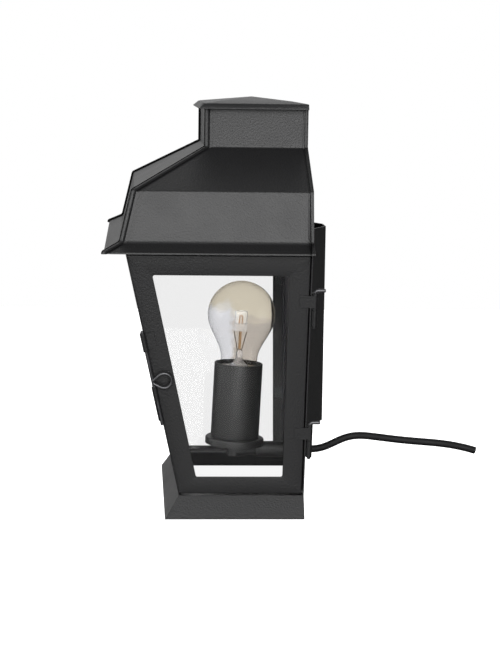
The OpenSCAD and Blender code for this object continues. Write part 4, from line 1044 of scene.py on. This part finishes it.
class LANTERN_OT_latch(bpy.types.Operator):
    """Pin latch: guides, keeper, and one bent wire with a finger ring"""
    bl_idname = "lantern.latch"
    bl_label = "Latch"

    def execute(self, context):
        s = context.scene.lantern_sizes
        f = Form(s)
        for node in ("latch_upper_guide", "latch_lower_guide", "latch_keeper"):
            softened(node, "black_paint", 0.25)
        slope = math.cos(f.lean) * math.cos(f.edge)
        axis = np.array([s.guide_r, -0.2 * MM, (s.latch_ring_z - s.plinth_h) / slope])
        c, d = math.cos(f.edge), math.sin(f.edge)
        tip = np.array([[1, 0, 0], [0, c, d], [0, -d, c]])

        def on_latch(points):
            return set_in((axis + points) @ tip + [0, -s.body_d, 0], f.right_face)

        eye_r, leg_z, below, above = 1.2 * MM, 0.9 * MM, 11.4 * MM, 18 * MM
        reach = math.hypot(s.latch_ring_y, leg_z)
        turn = math.atan2(leg_z, s.latch_ring_y) + math.acos(s.latch_ring_r / reach)
        room = leg_z + s.guide_r / math.tan(turn) + eye_r / math.sin(turn) + MOVE_CLEAR + s.latch_travel
        pin = np.linspace([0, 0, -room - below], [0, 0, room + above], 24)
        eye = self.loop(s, turn, leg_z)
        latch = joined(wire(on_latch(pin), s.latch_pin_r), wire(on_latch(eye), eye_r, 16))
        add_piece("latch_wire", placed(latch), "wire", "latch", ["latch_pin"])
        return {"FINISHED"}

    @staticmethod
    def loop(s, turn, leg_z):
        """Finger loop: a straight leg from the pin that touches a circle, the far part of that circle, and
        the same leg back. Each leg comes out of the pin on a parabola."""
        lift = s.latch_ring_out - s.guide_r
        a = np.linspace(turn, 2 * math.pi - turn, 56)
        ring = np.stack([np.full(len(a), lift), s.latch_ring_y - s.latch_ring_r * np.cos(a),
                         s.latch_ring_r * np.sin(a)], -1)
        t = np.linspace(0, 1, 12, endpoint=False)[:, None]
        leg = (1 - t) * np.array([lift, 0, leg_z]) + t * ring[0]
        leg[:, 0] -= 0.6 * lift * (1 - t[:, 0])**2
        return np.vstack([leg, ring, leg[::-1] * [1, 1, -1]])


class LANTERN_OT_holder(bpy.types.Operator):
    """Lampholder with its arm, socket and inner wires, and the cord's gland"""
    bl_idname = "lantern.holder"
    bl_label = "Lampholder"

    def execute(self, context):
        s = context.scene.lantern_sizes
        f = Form(s)

        def tube(outer, inner, low, high, edge):
            corners = np.array([[inner, low], [outer, low], [outer, high], [inner, high]])
            return rounded(corners, np.array([0.2 * MM, edge, edge, 0.2 * MM]), closed=True, steps=4)

        arm = turned(tube(s.arm_r, 5.05 * MM, -s.arm_l, 0, 0.5 * MM), f.arm, 48, ring=True)
        add_piece("arm_cover", placed(arm), "holder_paint", "frame", ["arm_tube"])
        softened("holder_elbow", "holder_paint", 0.4)
        softened("holder_dish", "holder_paint", 0.4)
        sleeve = tube(s.sleeve_r, s.sleeve_r - s.sleeve_wall, f.sleeve_z + 0.02 * MM, f.sleeve_z + s.sleeve_h,
                      0.6 * MM)
        add_piece("sleeve", placed(turned(sleeve, f.holder, 128, ring=True)), "holder_paint", "frame",
                  ["holder_sleeve"])
        for node, finish in (
                ("arm_nipple", "holder_paint"), ("arm_locknut", "brass"), ("holder_stud", "brass"),
                ("socket_body", "porcelain"), ("socket_shell", "brass"), ("centre_contact", "brass"),
                ("cable_gland", "rubber")):
            softened(node, finish, 0.3)
        wires = frame["nodes"]["inner_leads"]
        wires.data.materials.clear()
        wires.data.materials.append(FINISHES["lead_sleeve"])
        return {"FINISHED"}


class LANTERN_OT_bulb(bpy.types.Operator):
    """Bulb with its capsule, wires and screw cap"""
    bl_idname = "lantern.bulb"
    bl_label = "Bulb"

    def execute(self, context):
        s = context.scene.lantern_sizes
        f = Form(s)
        line = np.vstack([self.envelope(f, s, 0), self.envelope(f, s, GLASS_WALL)[::-1]])
        for name, solid, finish, node in (
                ("bulb_envelope", turned(line, f.holder, 96, ring=True), "bulb_glass", "bulb_glass"),
                ("bulb_stem_glass", self.stem(f, s), "stem_glass", "bulb_stem"),
                ("bulb_capsule_glass", self.capsule(f), "quartz", "bulb_capsule")):
            glass = add_piece(name, placed(solid), finish, "bulb", [node], sharp=60)
            glass.visible_shadow = False
        add_piece("bulb_lead_wires", placed(self.leads(f)), "lead", "bulb", ["bulb_leads"])
        add_piece("bulb_coil", placed(self.filament(f)), "tungsten", "bulb", ["bulb_filament"])
        for node, finish in (
                ("bulb_cap", "nickel"), ("bulb_insulator", "insulator"), ("bulb_contact", "nickel")):
            softened(node, finish, 0.25)
        return {"FINISHED"}

    def leads(self, f):
        """Two straight lead wires that spread from the stem up to the capsule."""
        low, high = f.stem_top - 2 * MM, f.stem_top + LEAD_H
        paths = [np.linspace([0, k * LEAD_FOOT, low], [0, k * LEAD_SPREAD, high], 12) for k in (-1, 1)]
        return joined(*[wire(set_in(path, f.holder), LEAD_R, 12) for path in paths])

    def envelope(self, f, s, inset):
        """Bulb line: a circle from the top to below its middle for the crown, then a cubic that leaves it
        along its tangent and reaches the neck upright, then the neck's foot."""
        r, end = s.bulb_r - inset, math.radians(-25)
        a = np.linspace(math.pi / 2, end, 32)[:, None]
        crown = np.hstack([r * np.cos(a), f.bulb_centre + r * np.sin(a)])
        crown[0, 0] = 0.05 * MM
        foot = np.array([s.neck_r - inset, f.neck_z + 6 * MM])
        way = np.array([math.sin(end), -math.cos(end)])
        p, q, t = crown[-1] + 14 * MM * way, foot + [0, 12 * MM], np.linspace(0, 1, 20)[1:, None]
        neck = crown[-1] * (1 - t)**3 + 3 * p * t * (1 - t)**2 + 3 * q * t**2 * (1 - t) + foot * t**3
        return np.vstack([crown, neck, [[s.screw_r - inset, f.neck_z]]])

    def stem(self, f, s):
        """Stem: a flared glass foot that narrows to a rod under the capsule."""
        flange, foot, tube_r = s.screw_r - 1.65 * MM, f.neck_z - 2 * MM, 3 * MM
        line = rounded(np.array([
            [0, foot], [flange, foot], [flange, f.neck_z], [5 * MM, f.neck_z + 5 * MM],
            [tube_r, f.neck_z + 9 * MM], [tube_r, f.stem_top - 2 * MM], [ROD_R, f.stem_top],
            [ROD_R, f.pinch_z], [0, f.pinch_z],
        ]), np.array([0.3, 0.6, 2.5, 2, 1.5, 1, 0.2]) * MM, steps=4)
        return turned(line, f.holder, 48)

    def capsule(self, f):
        """Capsule: a flat pinched foot under a round shell whose inner side follows its outer one."""
        outer = self.shell(CAPSULE_R, f.capsule_z, f.capsule_z + CAPSULE_H)
        inner = self.shell(CAPSULE_R - CAPSULE_WALL, f.capsule_z + CAPSULE_WALL,
                           f.capsule_z + CAPSULE_H - CAPSULE_WALL)
        shell = turned(np.vstack([outer, inner[::-1]]), f.holder, 48, ring=True)
        rows = []
        for inset, z in ((0.5 * MM, 0), (0, 0.5 * MM), (0, PINCH_H - 0.8 * MM), (0.2 * MM, PINCH_H)):
            x, y = PINCH_T / 2 - inset, PINCH_W / 2 - inset
            loop = rounded(np.array([[x, -y], [x, y], [-x, y], [-x, -y]]), 0.9 * MM, closed=True, steps=4)
            rows.append(np.column_stack([loop, np.full(len(loop), f.pinch_z + z)]))
        return joined(shell, skin(set_in(np.array(rows), f.holder)))

    def shell(self, r, low, high):
        """Line of a thimble: a flat floor, an upright wall and a flat crown, joined by rounded edges."""
        return rounded(np.array([[0.05 * MM, low], [r, low], [r, high], [0.05 * MM, high]]),
                       np.array([1.0, 1.4]) * MM)

    def filament(self, f):
        """Coiled filament: a helix wound round a hairpin, with its turns a fixed distance apart."""
        leg, half, coil, pitch, wire_r = 6 * MM, 1.2 * MM, 0.5 * MM, 0.62 * MM, 0.3 * MM
        t = np.linspace(0, 1, 700)[:, None]
        bend = math.pi * half
        total = 2 * leg + bend
        way = t * total
        a = np.clip((way - leg) / half, 0, math.pi)
        y = -half * np.cos(a)
        z = np.where(way < leg, way, np.where(way > leg + bend, total - way, leg + half * np.sin(a)))
        spin = 2 * math.pi * way / pitch
        normal_y, normal_z = -np.cos(a), np.sin(a)
        middle = np.hstack([np.zeros_like(y), y, z])
        path = middle + coil * np.hstack([np.cos(spin), np.sin(spin) * normal_y, np.sin(spin) * normal_z])
        return wire(set_in(path + [0, 0, f.capsule_z + CAPSULE_WALL], f.holder), wire_r, 6)


class LANTERN_PT_panel(bpy.types.Panel):
    """Sidebar list of the lantern's pieces"""
    bl_idname = "LANTERN_PT_panel"
    bl_label = "Wall Lantern"
    bl_space_type = "VIEW_3D"
    bl_region_type = "UI"
    bl_category = "Lantern"

    def draw(self, context):
        for operator in OPERATORS:
            self.layout.operator(operator.bl_idname)
        for group in (context.scene.lantern_sizes, context.scene.lantern_colours):
            box = self.layout.box()
            for key in group.__annotations__:
                box.prop(group, key)


OPERATORS = (LANTERN_OT_finishes, LANTERN_OT_stage, LANTERN_OT_cord, LANTERN_OT_roof, LANTERN_OT_body,
             LANTERN_OT_door, LANTERN_OT_panes, LANTERN_OT_hinges, LANTERN_OT_latch, LANTERN_OT_holder,
             LANTERN_OT_bulb)
CLASSES = (LanternSizes, LanternColours, *OPERATORS, LANTERN_PT_panel)


def register():
    for cls in CLASSES:
        bpy.utils.register_class(cls)
    bpy.types.Scene.lantern_sizes = PointerProperty(type=LanternSizes)
    bpy.types.Scene.lantern_colours = PointerProperty(type=LanternColours)


def unregister():
    del bpy.types.Scene.lantern_colours
    del bpy.types.Scene.lantern_sizes
    for cls in reversed(CLASSES):
        bpy.utils.unregister_class(cls)


def main():
    register()
    bpy.ops.lantern.finishes()
    bpy.ops.lantern.stage()
    bpy.ops.lantern.cord()
    bpy.ops.lantern.roof()
    bpy.ops.lantern.body()
    bpy.ops.lantern.door()
    bpy.ops.lantern.panes()
    bpy.ops.lantern.hinges()
    bpy.ops.lantern.latch()
    bpy.ops.lantern.holder()
    bpy.ops.lantern.bulb()


if __name__ == "__main__":
    main()
